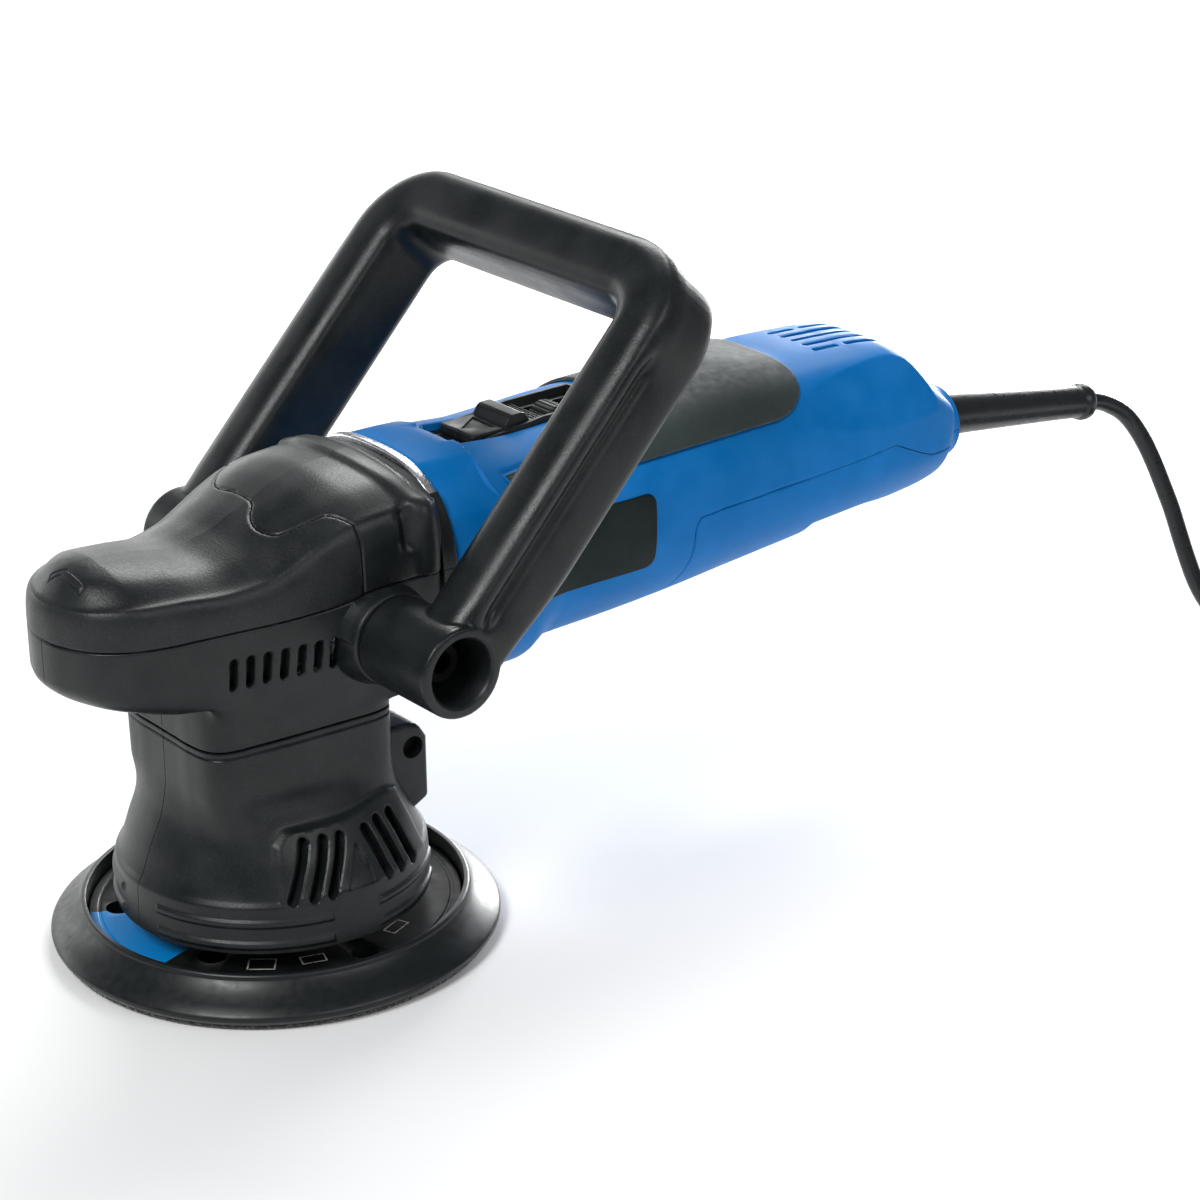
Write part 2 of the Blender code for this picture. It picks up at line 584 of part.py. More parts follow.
HEAD_TOP = [(-60, 149), (-45, 146.5), (-30, 143), (-18, 146), (-8, 151), (0, 154), (10, 158), (20, 160.3),
            (45, 160.8)]
HEAD_CREASE = [(-78, 141), (-60, 142), (-45, 140), (-30, 137), (-18, 139.5), (-8, 145), (0, 148.5),
               (10, 152), (20, 154), (45, 155)]
HEAD_SEAM = [(-90, 122.5), (-45, 122), (0, 125.3), (10, 127), (17, 129.2), (60, 130.5)]
S_SEAM = [(15, -60), (14.5, -42), (13, -34), (8.5, -28), (1, -25.3), (-6, -22), (-8.5, -15), (-6.5, -8),
          (-2, -2), (-1, 8), (-1, 20), (4, 28), (12, 34), (15, 42), (15, 60)]


def inset_plan(plan, front, rear, inset, open_rear=None):
    """Half plan moved inwards towards the spine, and its flat rear moved out if it is to be open."""
    result = []
    for x, y in plan:
        foot = min(max(x, front), rear)
        across = Vector((x - foot, y))
        if across.length > inset:
            across = across.normalized() * (across.length - inset)
        x = foot + across.x
        if open_rear is not None and x > HEAD_REAR_X - 1:
            x = open_rear
        result.append((x, across.y))
    return result


def head_lower(name, inset, material=None, steps=2):
    """Lower form of the gear head: a boxy neck that spreads into the nose."""
    neck = inset_plan(NECK_PLAN, -25, 20, inset)
    head = inset_plan(HEAD_PLAN, SPINE_FRONT, HEAD_REAR_X, inset, 60.0 if inset else None)
    base = NECK_Z - 6 if inset else NECK_Z + GAP / 2
    limit = 60.0 if inset else HEAD_REAR_X
    rings = []
    for z in [base, 90, 95, 98.5, 101, 103, 106, 111, 134]:
        half = []
        for a, b, (low, high) in zip(neck, head, PLAN_RISE):
            t = min(max((z - inset - low) / (high - low), 0.0), 1.0)
            t = t * t * (3 - 2 * t)
            half.append((a[0] + (b[0] - a[0]) * t, a[1] + (b[1] - a[1]) * t))
        rings.append([(min(p.x, limit), p.y, z) for p in catmull(mirrored(half), steps, closed=True)])
    return loft(name, rings, material)


def head_upper(name, inset, material=None, steps=2):
    """Upper form of the head: rings that shrink onto the spine, with a crease along the top edge."""
    head = inset_plan(HEAD_PLAN, SPINE_FRONT, HEAD_REAR_X, inset, 60.0 if inset else None)
    outline = catmull(mirrored(head), steps, closed=True)
    limit = 60.0 if inset else HEAD_REAR_X
    rings = []
    for share, lift in ((0.97, None), (0.985, 0.0), (1.0, 0.3), (0.985, 0.7), (0.93, 0.92), (0.83, 1.0),
                        (0.6, 1.6), (0.3, 1.9), (0.0, 2.0)):
        ring = []
        for x, y in outline:
            foot = min(max(x, SPINE_FRONT), limit)
            px, py = foot + (min(x, limit) - foot) * share, y * share
            top, crease = smooth(HEAD_TOP, px) - inset, smooth(HEAD_CREASE, px) - inset
            if lift is None:
                z = 112.0
            elif lift <= 1.0:
                z = 121.0 + (crease - 121.0) * lift
            else:
                z = crease + (top - crease) * (lift - 1.0)
            ring.append((px, py, z))
        rings.append(ring)
    bm = bmesh.new()
    loops = [[bm.verts.new(Vector(p) * MM) for p in ring] for ring in rings]
    for lower, upper in zip(loops, loops[1:]):
        for i in range(len(lower)):
            j = (i + 1) % len(lower)
            bm.faces.new((lower[i], lower[j], upper[j], upper[i]))
    bm.faces.new(loops[0])
    bmesh.ops.remove_doubles(bm, verts=bm.verts, dist=0.00002)
    bmesh.ops.dissolve_degenerate(bm, edges=bm.edges, dist=0.00001)
    return from_bmesh(name, bm, material)


def offset_path(points, distance):
    """Open plan path moved sideways by a distance."""
    result = []
    for i, point in enumerate(points):
        before, after = Vector(points[max(i - 1, 0)]), Vector(points[min(i + 1, len(points) - 1)])
        along = (after - before).normalized()
        result.append((point[0] + along.y * distance, point[1] - along.x * distance))
    return result


def head_shells():
    px, pz = HANDLE_PIVOT
    for name, side in (("left", -1), ("right", 1)):
        shell = head_lower(f"head_shell_{name}", 0.0, "black_housing")
        seam = [(x, z - GAP / 2) for x, z in HEAD_SEAM] + [(60, 70), (-90, 70)]
        near, far = sorted((side * GAP / 2, side * 70))
        boolean(shell, "DIFFERENCE", head_lower(f"lower_hollow_{name}", WALL, steps=1))
        boolean(shell, "UNION", rod(f"handle_boss_{name}", 15.5, (px, side * 36.0, pz),
                                    (px, side * 46.3, pz), segments=28))
        boolean(shell, "INTERSECT", prism(f"lower_region_{name}", seam, "y", near, far))
        boolean(shell, "DIFFERENCE", rod(f"boss_bore_{name}", 4.4, (px, side * 20, pz),
                                         (px, side * 60, pz), segments=14))
        low, high = sorted((side * 20, side * 60))
        slots = [((x, low, 105.4), (x + 3.0, high, 117.1)) for x in (-31.9 + 5.75 * i for i in range(7))]
        boolean(shell, "DIFFERENCE", blocks(f"vents_{name}", slots))


def head_covers():
    above = [(x, z + GAP / 2) for x, z in HEAD_SEAM] + [(60, 180), (-90, 180)]
    palm = head_upper("palm_cover", 0.0, "black_housing")
    front = offset_path(S_SEAM, -GAP / 2)
    boolean(palm, "DIFFERENCE", head_upper("palm_hollow", WALL, steps=1))
    boolean(palm, "INTERSECT", prism("palm_above", above, "y", -70, 70),
            prism("palm_front", front + [(-95, 60), (-95, -60)], "z", 90, 190))
    cover = head_upper("gearbox_cover", 0.0, "black_housing")
    rear = offset_path(S_SEAM, GAP / 2)
    boolean(cover, "DIFFERENCE", head_upper("cover_hollow", WALL, steps=1))
    boolean(cover, "INTERSECT", prism("cover_above", above, "y", -70, 70),
            prism("cover_rear", rear + [(80, 60), (80, -60)], "z", 90, 190))


def bearing_flange():
    """Aluminium plate between head and motor, with the seat of the armature's front bearing."""
    low, high = FLANGE_X
    flange = loft("bearing_flange", [body_ring(low, 0.4, 28), body_ring(high, 0.4, 28)], "cast_aluminium")
    boolean(flange, "UNION", rod("flange_hub", 16.5, (high - 1, 0, MOTOR_Z), (58.0, 0, MOTOR_Z)))
    boolean(flange, "DIFFERENCE",
            rod("front_bearing_seat", 13.3, (50.0, 0, MOTOR_Z), (70, 0, MOTOR_Z), segments=20),
            rod("flange_bore", 7.0, (30, 0, MOTOR_Z), (60, 0, MOTOR_Z), segments=16))


# --- hood ---------------------------------------------------------------------------------------
HOOD_PROFILE = [(18, 52.0), (33.5, 51.4), (35, 50.4), (45, 47.5), (58, 43.0), (84, 38.5)]
HOOD_SQUARE = [(33.5, 0.0), (45, 0.18), (58, 0.62), (68, 0.96), (84, 1.0)]


def hood_form(name, inset, material=None, steps=2):
    """Round foot that rises into the neck's rounded rectangle."""
    neck = inset_plan(NECK_PLAN, -25, 20, inset)
    count = len(neck)
    low = HOOD_FOOT_Z - (6 if inset else 0)
    high = NECK_Z + (6 if inset else -GAP / 2)
    rings = []
    for z in (low, 33.0, 35.5, 42, 50, 58, 66, 74, high):
        radius = smooth(HOOD_PROFILE, z) - inset
        share = smooth(HOOD_SQUARE, z)
        half = []
        for i, (x, y) in enumerate(neck):
            angle = math.pi * i / (count - 1)
            half.append((radius * math.cos(angle) * (1 - share) + x * share,
                         -radius * math.sin(angle) * (1 - share) + y * share))
        rings.append([(p.x, p.y, z) for p in catmull(mirrored(half), steps, closed=True)])
    return loft(name, rings, material)


def hood():
    screw_x, screw_z = 40.0, 63.5
    for name, side in (("left", -1), ("right", 1)):
        half = hood_form(f"hood_{name}", 0.0, "black_housing")
        lug = [(26, 44), (38, 40), (46, 44), (46, 66), (43, 71), (38, 72.5), (26, 72.5)]
        boolean(half, "UNION", prism(f"screw_lug_{name}", lug, "y", -26.0, 26.0))
        boolean(half, "DIFFERENCE", hood_form(f"hood_hollow_{name}", WALL, steps=1))
        near, far = sorted((side * GAP / 2, side * 80))
        boolean(half, "INTERSECT", block(f"hood_side_{name}", (-90, near, 0), (90, far, 120)))
        boolean(half, "DIFFERENCE",
                rod(f"screw_bore_{name}", 2.3, (screw_x, -40, screw_z), (screw_x, 40, screw_z), segments=12),
                rod(f"screw_recess_{name}", 3.9, (screw_x, -40, screw_z), (screw_x, -18.7, screw_z),
                    segments=16))
    screw = turned("hood_screw", [(0, 22.0), (3.5, 22.0), (3.5, 19.0), (1.9, 19.0), (1.9, -20.0), (0, -20.0)],
                   "steel", steps=12, axis="Y", centre=(screw_x, 0, screw_z))
    screw.rotation_euler = (math.radians(90), 0, 0)


# --- D-handle -----------------------------------------------------------------------------------
def handle_point(across, along, lift=0.0):
    """Point of the handle: y, distance from the pivot along the lean, and height off its plane."""
    px, pz = HANDLE_PIVOT
    c, s = math.cos(HANDLE_LEAN), math.sin(HANDLE_LEAN)
    return Vector((px + c * along - s * lift, across, pz + s * along + c * lift))


def handle_path(steps):
    """Centre line from the left boss round the crossbar to the right boss, in the handle's plane."""
    corner = 19.0
    half, reach = HANDLE_HALF, HANDLE_REACH
    points = [(-half, 6.0), (-half, 34.0), (-half, 80.0)]
    for s in range(steps + 1):
        angle = math.radians(90) * s / steps
        points.append((-half + corner - corner * math.cos(angle), reach - corner + corner * math.sin(angle)))
    points.append((0.0, reach))
    return points + [(-y, u) for y, u in reversed(points[:-1])]


def d_handle():
    path = [Vector(p) for p in handle_path(4)]
    rings = []
    for i, point in enumerate(path):
        tangent = (path[min(i + 1, len(path) - 1)] - path[max(i - 1, 0)]).normalized()
        side = Vector((tangent.y, -tangent.x))
        wide = ARM_WIDE + (BAR_WIDE - ARM_WIDE) * abs(tangent.x)
        section = rounded_box(wide / 2, GRIP_THICK / 2, 8.6, 2)
        rings.append([handle_point(point.x + side.x * a, point.y + side.y * a, b - GRIP_SET_BACK)
                      for a, b in section])
    handle = loft("d_handle", rings, "black_housing")
    for name, side in (("left", -1), ("right", 1)):
        inner, outer = (handle_point(side * y, 0) for y in BOSS_Y)
        boolean(handle, "UNION", rod(f"pivot_boss_{name}", BOSS_RADIUS, inner, outer, segments=24))
    for name, side in (("left", -1), ("right", 1)):
        boolean(handle, "DIFFERENCE",
                rod(f"bolt_recess_{name}", 11.0, handle_point(side * 60.0, 0), handle_point(side * 90, 0),
                    segments=20),
                rod(f"bolt_hole_{name}", 4.6, handle_point(side * 40.0, 0), handle_point(side * 90, 0),
                    segments=16))
        washer = turned(f"handle_washer_{name}", [(10.5, 0.8), (10.5, -0.8), (4.4, -0.8), (4.4, 0.8)],
                        "steel", steps=20, axis="Y", centre=handle_point(side * 61.1, 0))
        bolt = turned(f"handle_bolt_{name}", [(0, 22.5), (4.0, 22.5), (4.0, -8.2), (6.5, -8.2),
                                              (6.5, -16.2), (3.6, -16.2), (3.6, -11.0), (0, -11.0)],
                      "steel", steps=18, axis="Y", centre=handle_point(side * 54.0, 0))
        for piece in (washer, bolt):
            piece.rotation_euler = (math.radians(-90 if side < 0 else 90), 0, 0)
    return pivot_on(handle, handle_point(0, 0))


# --- cord ---------------------------------------------------------------------------------------
def cord_route():
    """Free run of the lead: out of the strain relief, down to the floor and round to the coil."""
    return [(382.2, 0, 99.7), (389, -0.3, 98.2), (395, -1, 95.5), (401, -2.3, 91.5), (405.5, -4.3, 86),
            (409, -7.5, 78.5), (411.5, -11, 70), (413.5, -14.5, 61), (415.2, -18.4, 51.5),
            (416.3, -22, 42), (417.2, -26, 32.5), (418.5, -30, 23.5), (421.5, -33.6, 15.5),
            (427, -36, 9.3), (434, -37.2, 5.6), (440.7, -36.36, 4.6)]


def cord_parts():
    relief_axis = (RELIEF_END - RELIEF_START).normalized()
    length = (RELIEF_END - RELIEF_START).length
    relief = turned("strain_relief", [(0, length), (6.2, length), (7.2, length - 1.5), (7.2, length - 3.5),
                                      (6.1, length - 5.0), (7.9, 12.0), (7.9, 0.0), (0, 0.0)],
                    "cord_rubber", steps=20)
    relief.rotation_euler = relief_axis.to_track_quat("Z", "X").to_euler()
    relief.location = RELIEF_START * MM
    points = catmull(cord_route(), 1)
    tube("mains_cord", points, CORD_RADIUS, "cord_rubber")
    cx, cy = COIL_CENTRE
    low, high = COIL_Z
    turned("cord_coil", [(COIL_OUTER - 2.5, high), (COIL_OUTER, high - 2.5), (COIL_OUTER, low + 2.5),
                         (COIL_OUTER - 2.5, low), (COIL_INNER + 2.5, low), (COIL_INNER, low + 2.5),
                         (COIL_INNER, high - 2.5), (COIL_INNER + 2.5, high)], "cord_rubber", steps=28,
           centre=(cx, cy, 0))


def coil_tie():
    """Strap round the coil's section, clear of where the lead joins it."""
    cx, cy = COIL_CENTRE
    low, high = COIL_Z
    middle = (COIL_INNER + COIL_OUTER) / 2
    width, height = (COIL_OUTER - COIL_INNER) / 2, (high - low) / 2
    centre_z = (low + high) / 2
    outer = prism("coil_tie", [(x, z + centre_z) for x, z in rounded_box(width + 1.4, height + 1.1, 3.0)],
                  "y", -5.0, 5.0, "cord_rubber")
    hole = prism("tie_hole", [(x, z + centre_z) for x, z in rounded_box(width + 0.6, height + GAP, 2.6)],
                 "y", -8.0, 8.0)
    turn = math.radians(TIE_ANGLE)
    for piece in (outer, hole):
        piece.rotation_euler = (0, 0, turn)
        piece.location = Vector((cx + middle * math.cos(turn), cy + middle * math.sin(turn), 0)) * MM
    boolean(outer, "DIFFERENCE", hole)


def plug():
    """Generic three-pin mains plug that lies on the coil, pins up, with its lead side towards +X."""
    base = COIL_Z[1] + GAP
    cx, cy = PLUG_CENTRE
    rings = []
    for z, scale in ((base, 0.9), (base + 2.5, 0.98), (base + 8, 1.0), (base + 16, 1.0), (base + 18, 0.96)):
        rings.append([(cx + x * scale, cy + y * scale, z) for x, y in rounded_box(23.0, 24.5, 7.0, 3)])
    loft("plug_body", rings, "black_housing")
    top = base + 18 + GAP
    for name, low, high, length in (("earth", (-12.0, -4.0), (-8.0, 4.0), 22.7),
                                    ("live", (7.0, -14.2), (11.0, -7.8), 17.7),
                                    ("neutral", (7.0, 7.8), (11.0, 14.2), 17.7)):
        block(f"plug_pin_{name}", (cx + low[0], cy + low[1], top), (cx + high[0], cy + high[1], top + length),
              "brass", 0.6)


clear_scene()
PARTS = make_collection("dual_action_polisher")
CUTTERS = make_collection("cutters")
backing_pad()
drive()
gears()
motor()
gear_case()
motor_housing()
grip_overmould()
switch()
head_shells()
head_covers()
bearing_flange()
hood()
d_handle()
cord_parts()
coil_tie()
plug()
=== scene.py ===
"""Looks of the dual action polisher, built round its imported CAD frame.

Sizes are in millimetres in the frame's axes: the origin is on the spindle's axis on the floor, +X runs
from the gear head to the cord, +Z is up, and y = 0 is the mirror plane. MM turns them into metres.
Each shell starts as a dense form of the CAD's own sections. It is refined where a feature runs, its
surface is raised or sunk there, and booleans then cut it from its neighbours.
"""
import json
import math

import bmesh
import bpy
import numpy as np
from mathutils import Matrix, Vector


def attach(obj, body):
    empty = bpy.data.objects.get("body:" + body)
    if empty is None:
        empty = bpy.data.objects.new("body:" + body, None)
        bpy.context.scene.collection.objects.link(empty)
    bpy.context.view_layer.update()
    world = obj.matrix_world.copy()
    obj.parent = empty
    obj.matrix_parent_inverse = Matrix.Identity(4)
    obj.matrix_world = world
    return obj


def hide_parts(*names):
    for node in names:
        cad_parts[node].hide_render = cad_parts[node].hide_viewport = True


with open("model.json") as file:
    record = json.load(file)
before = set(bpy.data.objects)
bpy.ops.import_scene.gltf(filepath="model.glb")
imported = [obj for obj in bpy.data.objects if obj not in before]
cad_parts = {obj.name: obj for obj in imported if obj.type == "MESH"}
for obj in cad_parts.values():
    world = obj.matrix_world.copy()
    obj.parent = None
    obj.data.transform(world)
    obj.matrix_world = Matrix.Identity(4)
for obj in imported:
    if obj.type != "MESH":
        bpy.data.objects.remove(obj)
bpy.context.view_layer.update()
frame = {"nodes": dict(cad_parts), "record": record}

MM = 0.001
GAP = 0.3
WALL = 2.6
MOTOR_Z = 121.0


# --- curves and distances
def step(value, low=0.0, high=1.0):
    """Smooth rise from 0 at low to 1 at high."""
    t = np.clip((value - low) / (high - low), 0, 1)
    return t * t * (3 - 2 * t)


def smooth(points, x):
    """Height at x of the smooth curve through (x, height) points, flat beyond its ends."""
    px, py = np.array(points, float).T
    rise = np.diff(py) / np.diff(px)
    both = rise[:-1] * rise[1:]
    inner = np.where(both > 0, 2 * both / np.where(both > 0, rise[:-1] + rise[1:], 1), 0)
    tangent = np.concatenate([rise[:1], inner, rise[-1:]])
    x = np.clip(x, px[0], px[-1])
    i = np.clip(np.searchsorted(px, x, "right") - 1, 0, len(px) - 2)
    width = px[i + 1] - px[i]
    t = (x - px[i]) / width
    blend = 3 * t * t - 2 * t ** 3
    return (py[i] * (1 - blend) + py[i + 1] * blend + tangent[i] * width * (t - 2 * t * t + t ** 3)
            + tangent[i + 1] * width * (t ** 3 - t * t))


def spline(points, steps, closed=False):
    """Catmull-Rom curve through the first axis of an array, with steps to each span."""
    p = np.asarray(points, float)
    if closed:
        a, b, c, d = (np.roll(p, -k, 0) for k in (-1, 0, 1, 2))
    else:
        padded = np.concatenate([p[:1], p, p[-1:]])
        a, b, c, d = padded[:-3], padded[1:-2], padded[2:-1], padded[3:]
    t = (np.arange(steps) / steps).reshape(1, -1, *[1] * (p.ndim - 1))
    a, b, c, d = (q[:, None] for q in (a, b, c, d))
    curve = 0.5 * (2 * b + (c - a) * t + (2 * a - 5 * b + 4 * c - d) * t ** 2
                   + (3 * b - a - 3 * c + d) * t ** 3)
    curve = curve.reshape(-1, *p.shape[1:])
    return curve if closed else np.concatenate([curve, p[-1:]])


def to_line(points, line, closed=False):
    """Distance from each 2-D point to a line of straight pieces."""
    line = np.array(line, float)
    if closed:
        line = np.concatenate([line, line[:1]])
    best = np.full(len(points), 1e9)
    for a, b in zip(line, line[1:]):
        along = b - a
        t = np.clip((points - a) @ along / max(along @ along, 1e-9), 0, 1)
        best = np.minimum(best, np.linalg.norm(points - a - t[:, None] * along, axis=1))
    return best


def to_region(points, outline):
    """Signed distance from each 2-D point to a closed outline, negative inside."""
    inside = np.zeros(len(points), bool)
    outline = np.array(outline, float)
    for (ax, ay), (bx, by) in zip(outline, np.roll(outline, -1, 0)):
        if ay == by:
            continue
        crosses = (points[:, 1] > min(ay, by)) & (points[:, 1] <= max(ay, by))
        inside ^= crosses & (points[:, 0] < ax + (points[:, 1] - ay) * (bx - ax) / (by - ay))
    distance = to_line(points, outline, closed=True)
    return np.where(inside, -distance, distance)


def to_slots(points, slots):
    """Signed distance to the nearest of several round-ended slots (start, end, radius)."""
    return np.min([to_line(points, (a, b)) - radius for a, b, radius in slots], axis=0)


# Cuts run this far inside a rim's sunk floor, so that they never meet its steep edge.
LAP = 0.05


def rim(distance, radius):
    """How far a surface sinks near a cut, so that the cut's edge is rounded by a radius."""
    d = np.clip(distance, 0, radius)
    return np.sqrt(radius ** 2 - (radius - d) ** 2) - radius


def groove(distance, half_width, depth):
    return -depth * (1 - step(distance, 0, half_width))


# --- outlines
def rounded_box(half_width, half_height, radius, steps=6):
    points = []
    for quarter, (sx, sy) in enumerate(((1, 1), (-1, 1), (-1, -1), (1, -1))):
        for s in range(steps + 1):
            angle = math.radians(90) * (quarter + s / steps)
            points.append((sx * (half_width - radius) + radius * math.cos(angle),
                           sy * (half_height - radius) + radius * math.sin(angle)))
    return points


def slot_outline(start, end, radius, steps=10):
    """Outline of a round-ended slot between two points, drawn in onto the floor of its rim."""
    radius -= LAP
    start, end = Vector(start), Vector(end)
    lean = math.atan2(end.y - start.y, end.x - start.x)
    points = []
    for centre, turn in ((end, -90), (start, 90)):
        for s in range(steps + 1):
            angle = lean + math.radians(turn + 180 * s / steps)
            points.append((centre.x + radius * math.cos(angle), centre.y + radius * math.sin(angle)))
    return points


# --- meshes
def in_scene(name, data):
    obj = bpy.data.objects.new(name, data)
    bpy.context.scene.collection.objects.link(obj)
    return obj


def from_bmesh(name, bm, cleanup=0.00001):
    """Object of a finished bmesh, with doubled points and loose edges taken out."""
    bmesh.ops.remove_doubles(bm, verts=bm.verts, dist=cleanup)
    bmesh.ops.delete(bm, geom=[edge for edge in bm.edges if edge.is_wire], context="EDGES")
    bm.normal_update()
    bmesh.ops.recalc_face_normals(bm, faces=bm.faces)
    mesh = bpy.data.meshes.new(name)
    bm.to_mesh(mesh)
    bm.free()
    return in_scene(name, mesh)


def solid(name, rings, cap_end=True):
    """Closed solid through rings of equally many points, with a flat cap on each end."""
    rings = np.asarray(rings, float)
    rows, columns = rings.shape[:2]
    index = np.arange(rows * columns).reshape(rows, columns)
    after = np.roll(index, -1, 1)
    quads = np.stack([index[:-1], after[:-1], after[1:], index[1:]], -1).reshape(-1, 4)
    mesh = bpy.data.meshes.new(name)
    caps = [index[0][::-1].tolist()] + ([index[-1].tolist()] if cap_end else [])
    mesh.from_pydata(rings.reshape(-1, 3) * MM, [], quads.tolist() + caps)
    bm = bmesh.new()
    bm.from_mesh(mesh)
    bpy.data.meshes.remove(mesh)
    return from_bmesh(name, bm)


def prisms(name, outlines, axis, low, high):
    """Flat outlines pushed along an axis: (x, z) points along Y, (x, y) along Z, (y, z) along X."""
    bm = bmesh.new()
    for outline in outlines:
        loops = []
        for along in (low, high):
            place = {"x": lambda a, b: (along, a, b), "y": lambda a, b: (a, along, b),
                     "z": lambda a, b: (a, b, along)}[axis]
            loops.append([bm.verts.new(Vector(place(a, b)) * MM) for a, b in outline])
        bm.faces.new(loops[0])
        bm.faces.new(loops[1])
        for i in range(len(outline)):
            j = (i + 1) % len(outline)
            bm.faces.new((loops[0][i], loops[0][j], loops[1][j], loops[1][i]))
    return from_bmesh(name, bm)


def box(name, low, high, bevel=0.0):
    low, high = Vector(low), Vector(high)
    bm = bmesh.new()
    bmesh.ops.create_cube(bm, size=1.0)
    for vert in bm.verts:
        vert.co = Vector(((vert.co[k] + 0.5) * (high[k] - low[k]) + low[k]) * MM for k in range(3))
    if bevel:
        bmesh.ops.bevel(bm, geom=bm.edges[:], offset=bevel * MM, segments=3, affect="EDGES", profile=0.5)
    return from_bmesh(name, bm)


def lathe(name, profile, start, end, segments=96):
    """Turned solid: (radius, distance from start) points of a closed profile round an axis."""
    start, axis = Vector(start), (Vector(end) - Vector(start)).normalized()
    side = axis.orthogonal().normalized()
    up = axis.cross(side)
    bm = bmesh.new()
    loops = []
    for s in range(segments):
        angle = 2 * math.pi * s / segments
        out = side * math.cos(angle) + up * math.sin(angle)
        loops.append([bm.verts.new((start + axis * h + out * r) * MM) for r, h in profile])
    for first, second in zip(loops, loops[1:] + loops[:1]):
        for i in range(len(profile)):
            j = (i + 1) % len(profile)
            bm.faces.new((first[i], first[j], second[j], second[i]))
    return from_bmesh(name, bm)


def rod(name, radius, start, end, segments=64):
    length = (Vector(end) - Vector(start)).length
    return lathe(name, [(0, 0), (radius, 0), (radius, length), (0, length)], start, end, segments)


def joined(name, *parts):
    """One object that holds the meshes of several."""
    bm = bmesh.new()
    for part in parts:
        bm.from_mesh(part.data)
        bpy.data.objects.remove(part)
    return from_bmesh(name, bm, 0.0000001)


def apply(obj):
    """Replace an object's mesh with what its modifiers make of it."""
    mesh = bpy.data.meshes.new_from_object(obj.evaluated_get(bpy.context.evaluated_depsgraph_get()))
    obj.modifiers.clear()
    old, obj.data = obj.data, mesh
    bpy.data.meshes.remove(old)
    return obj


def cut(obj, operation, *others, keep=()):
    """Boolean an object with others, which are removed unless they are kept for another cut."""
    for other in others:
        modifier = obj.modifiers.new("cut", "BOOLEAN")
        modifier.operation = operation
        modifier.solver = "EXACT"
        modifier.object = other
    apply(obj)
    for other in others:
        if other not in keep:
            bpy.data.objects.remove(other)
    return obj


def copy(obj, name):
    return in_scene(name, obj.data.copy())


def points_of(mesh):
    """Places of a mesh's points in millimetres, and their normals."""
    places, normals = np.empty((2, len(mesh.vertices), 3))
    for key, values in (("co", places), ("normal", normals)):
        flat = values.ravel()
        mesh.vertices.foreach_get(key, flat)
        values[:] = flat.reshape(-1, 3)
    return places / MM, normals


def refine(obj, near, cuts=2):
    """Divide the edges that have an end where near(places) holds."""
    chosen = near(points_of(obj.data)[0])
    bm = bmesh.new()
    bm.from_mesh(obj.data)
    edges = [e for e in bm.edges if chosen[e.verts[0].index] or chosen[e.verts[1].index]]
    bmesh.ops.subdivide_edges(bm, edges=edges, cuts=cuts, use_grid_fill=True)
    bm.to_mesh(obj.data)
    bm.free()
    return obj


def relief(obj, *fields, across=None):
    """Move each point along its first normal by one field's height after another.

    For the rim of a flat end, across names the end's axis, and points then move square to it.
    """
    places, normals = points_of(obj.data)
    if across is not None:
        normals[:, across] = 0
        size = np.linalg.norm(normals, axis=1, keepdims=True)
        normals = np.where(size > 0.3, normals / np.maximum(size, 0.3), 0)
    for field in fields:
        places = places + normals * field(places)[:, None]
    obj.data.vertices.foreach_set("co", (places * MM).ravel())
    obj.data.update()
    return obj


def xz(p):
    """Places seen from the side."""
    return p[:, [0, 2]]


def near_zero(distance, reach):
    """Test for refine(): within a reach of where a distance field is zero."""
    return lambda p: np.abs(distance(p)) < reach


def rounded(obj, width, segments=3, angle=35):
    modifier = obj.modifiers.new("round", "BEVEL")
    modifier.width = width * MM
    modifier.segments = segments
    modifier.angle_limit = math.radians(angle)
    return apply(obj)


def melted(obj, voxel, passes):
    """Merge an object's overlapping solids into one skin and soften where they meet."""
    remesh = obj.modifiers.new("skin", "REMESH")
    remesh.mode = "VOXEL"
    remesh.voxel_size = voxel * MM
    apply(obj)
    soften = obj.modifiers.new("soften", "SMOOTH")
    soften.factor = 0.5
    soften.iterations = passes
    return apply(obj)


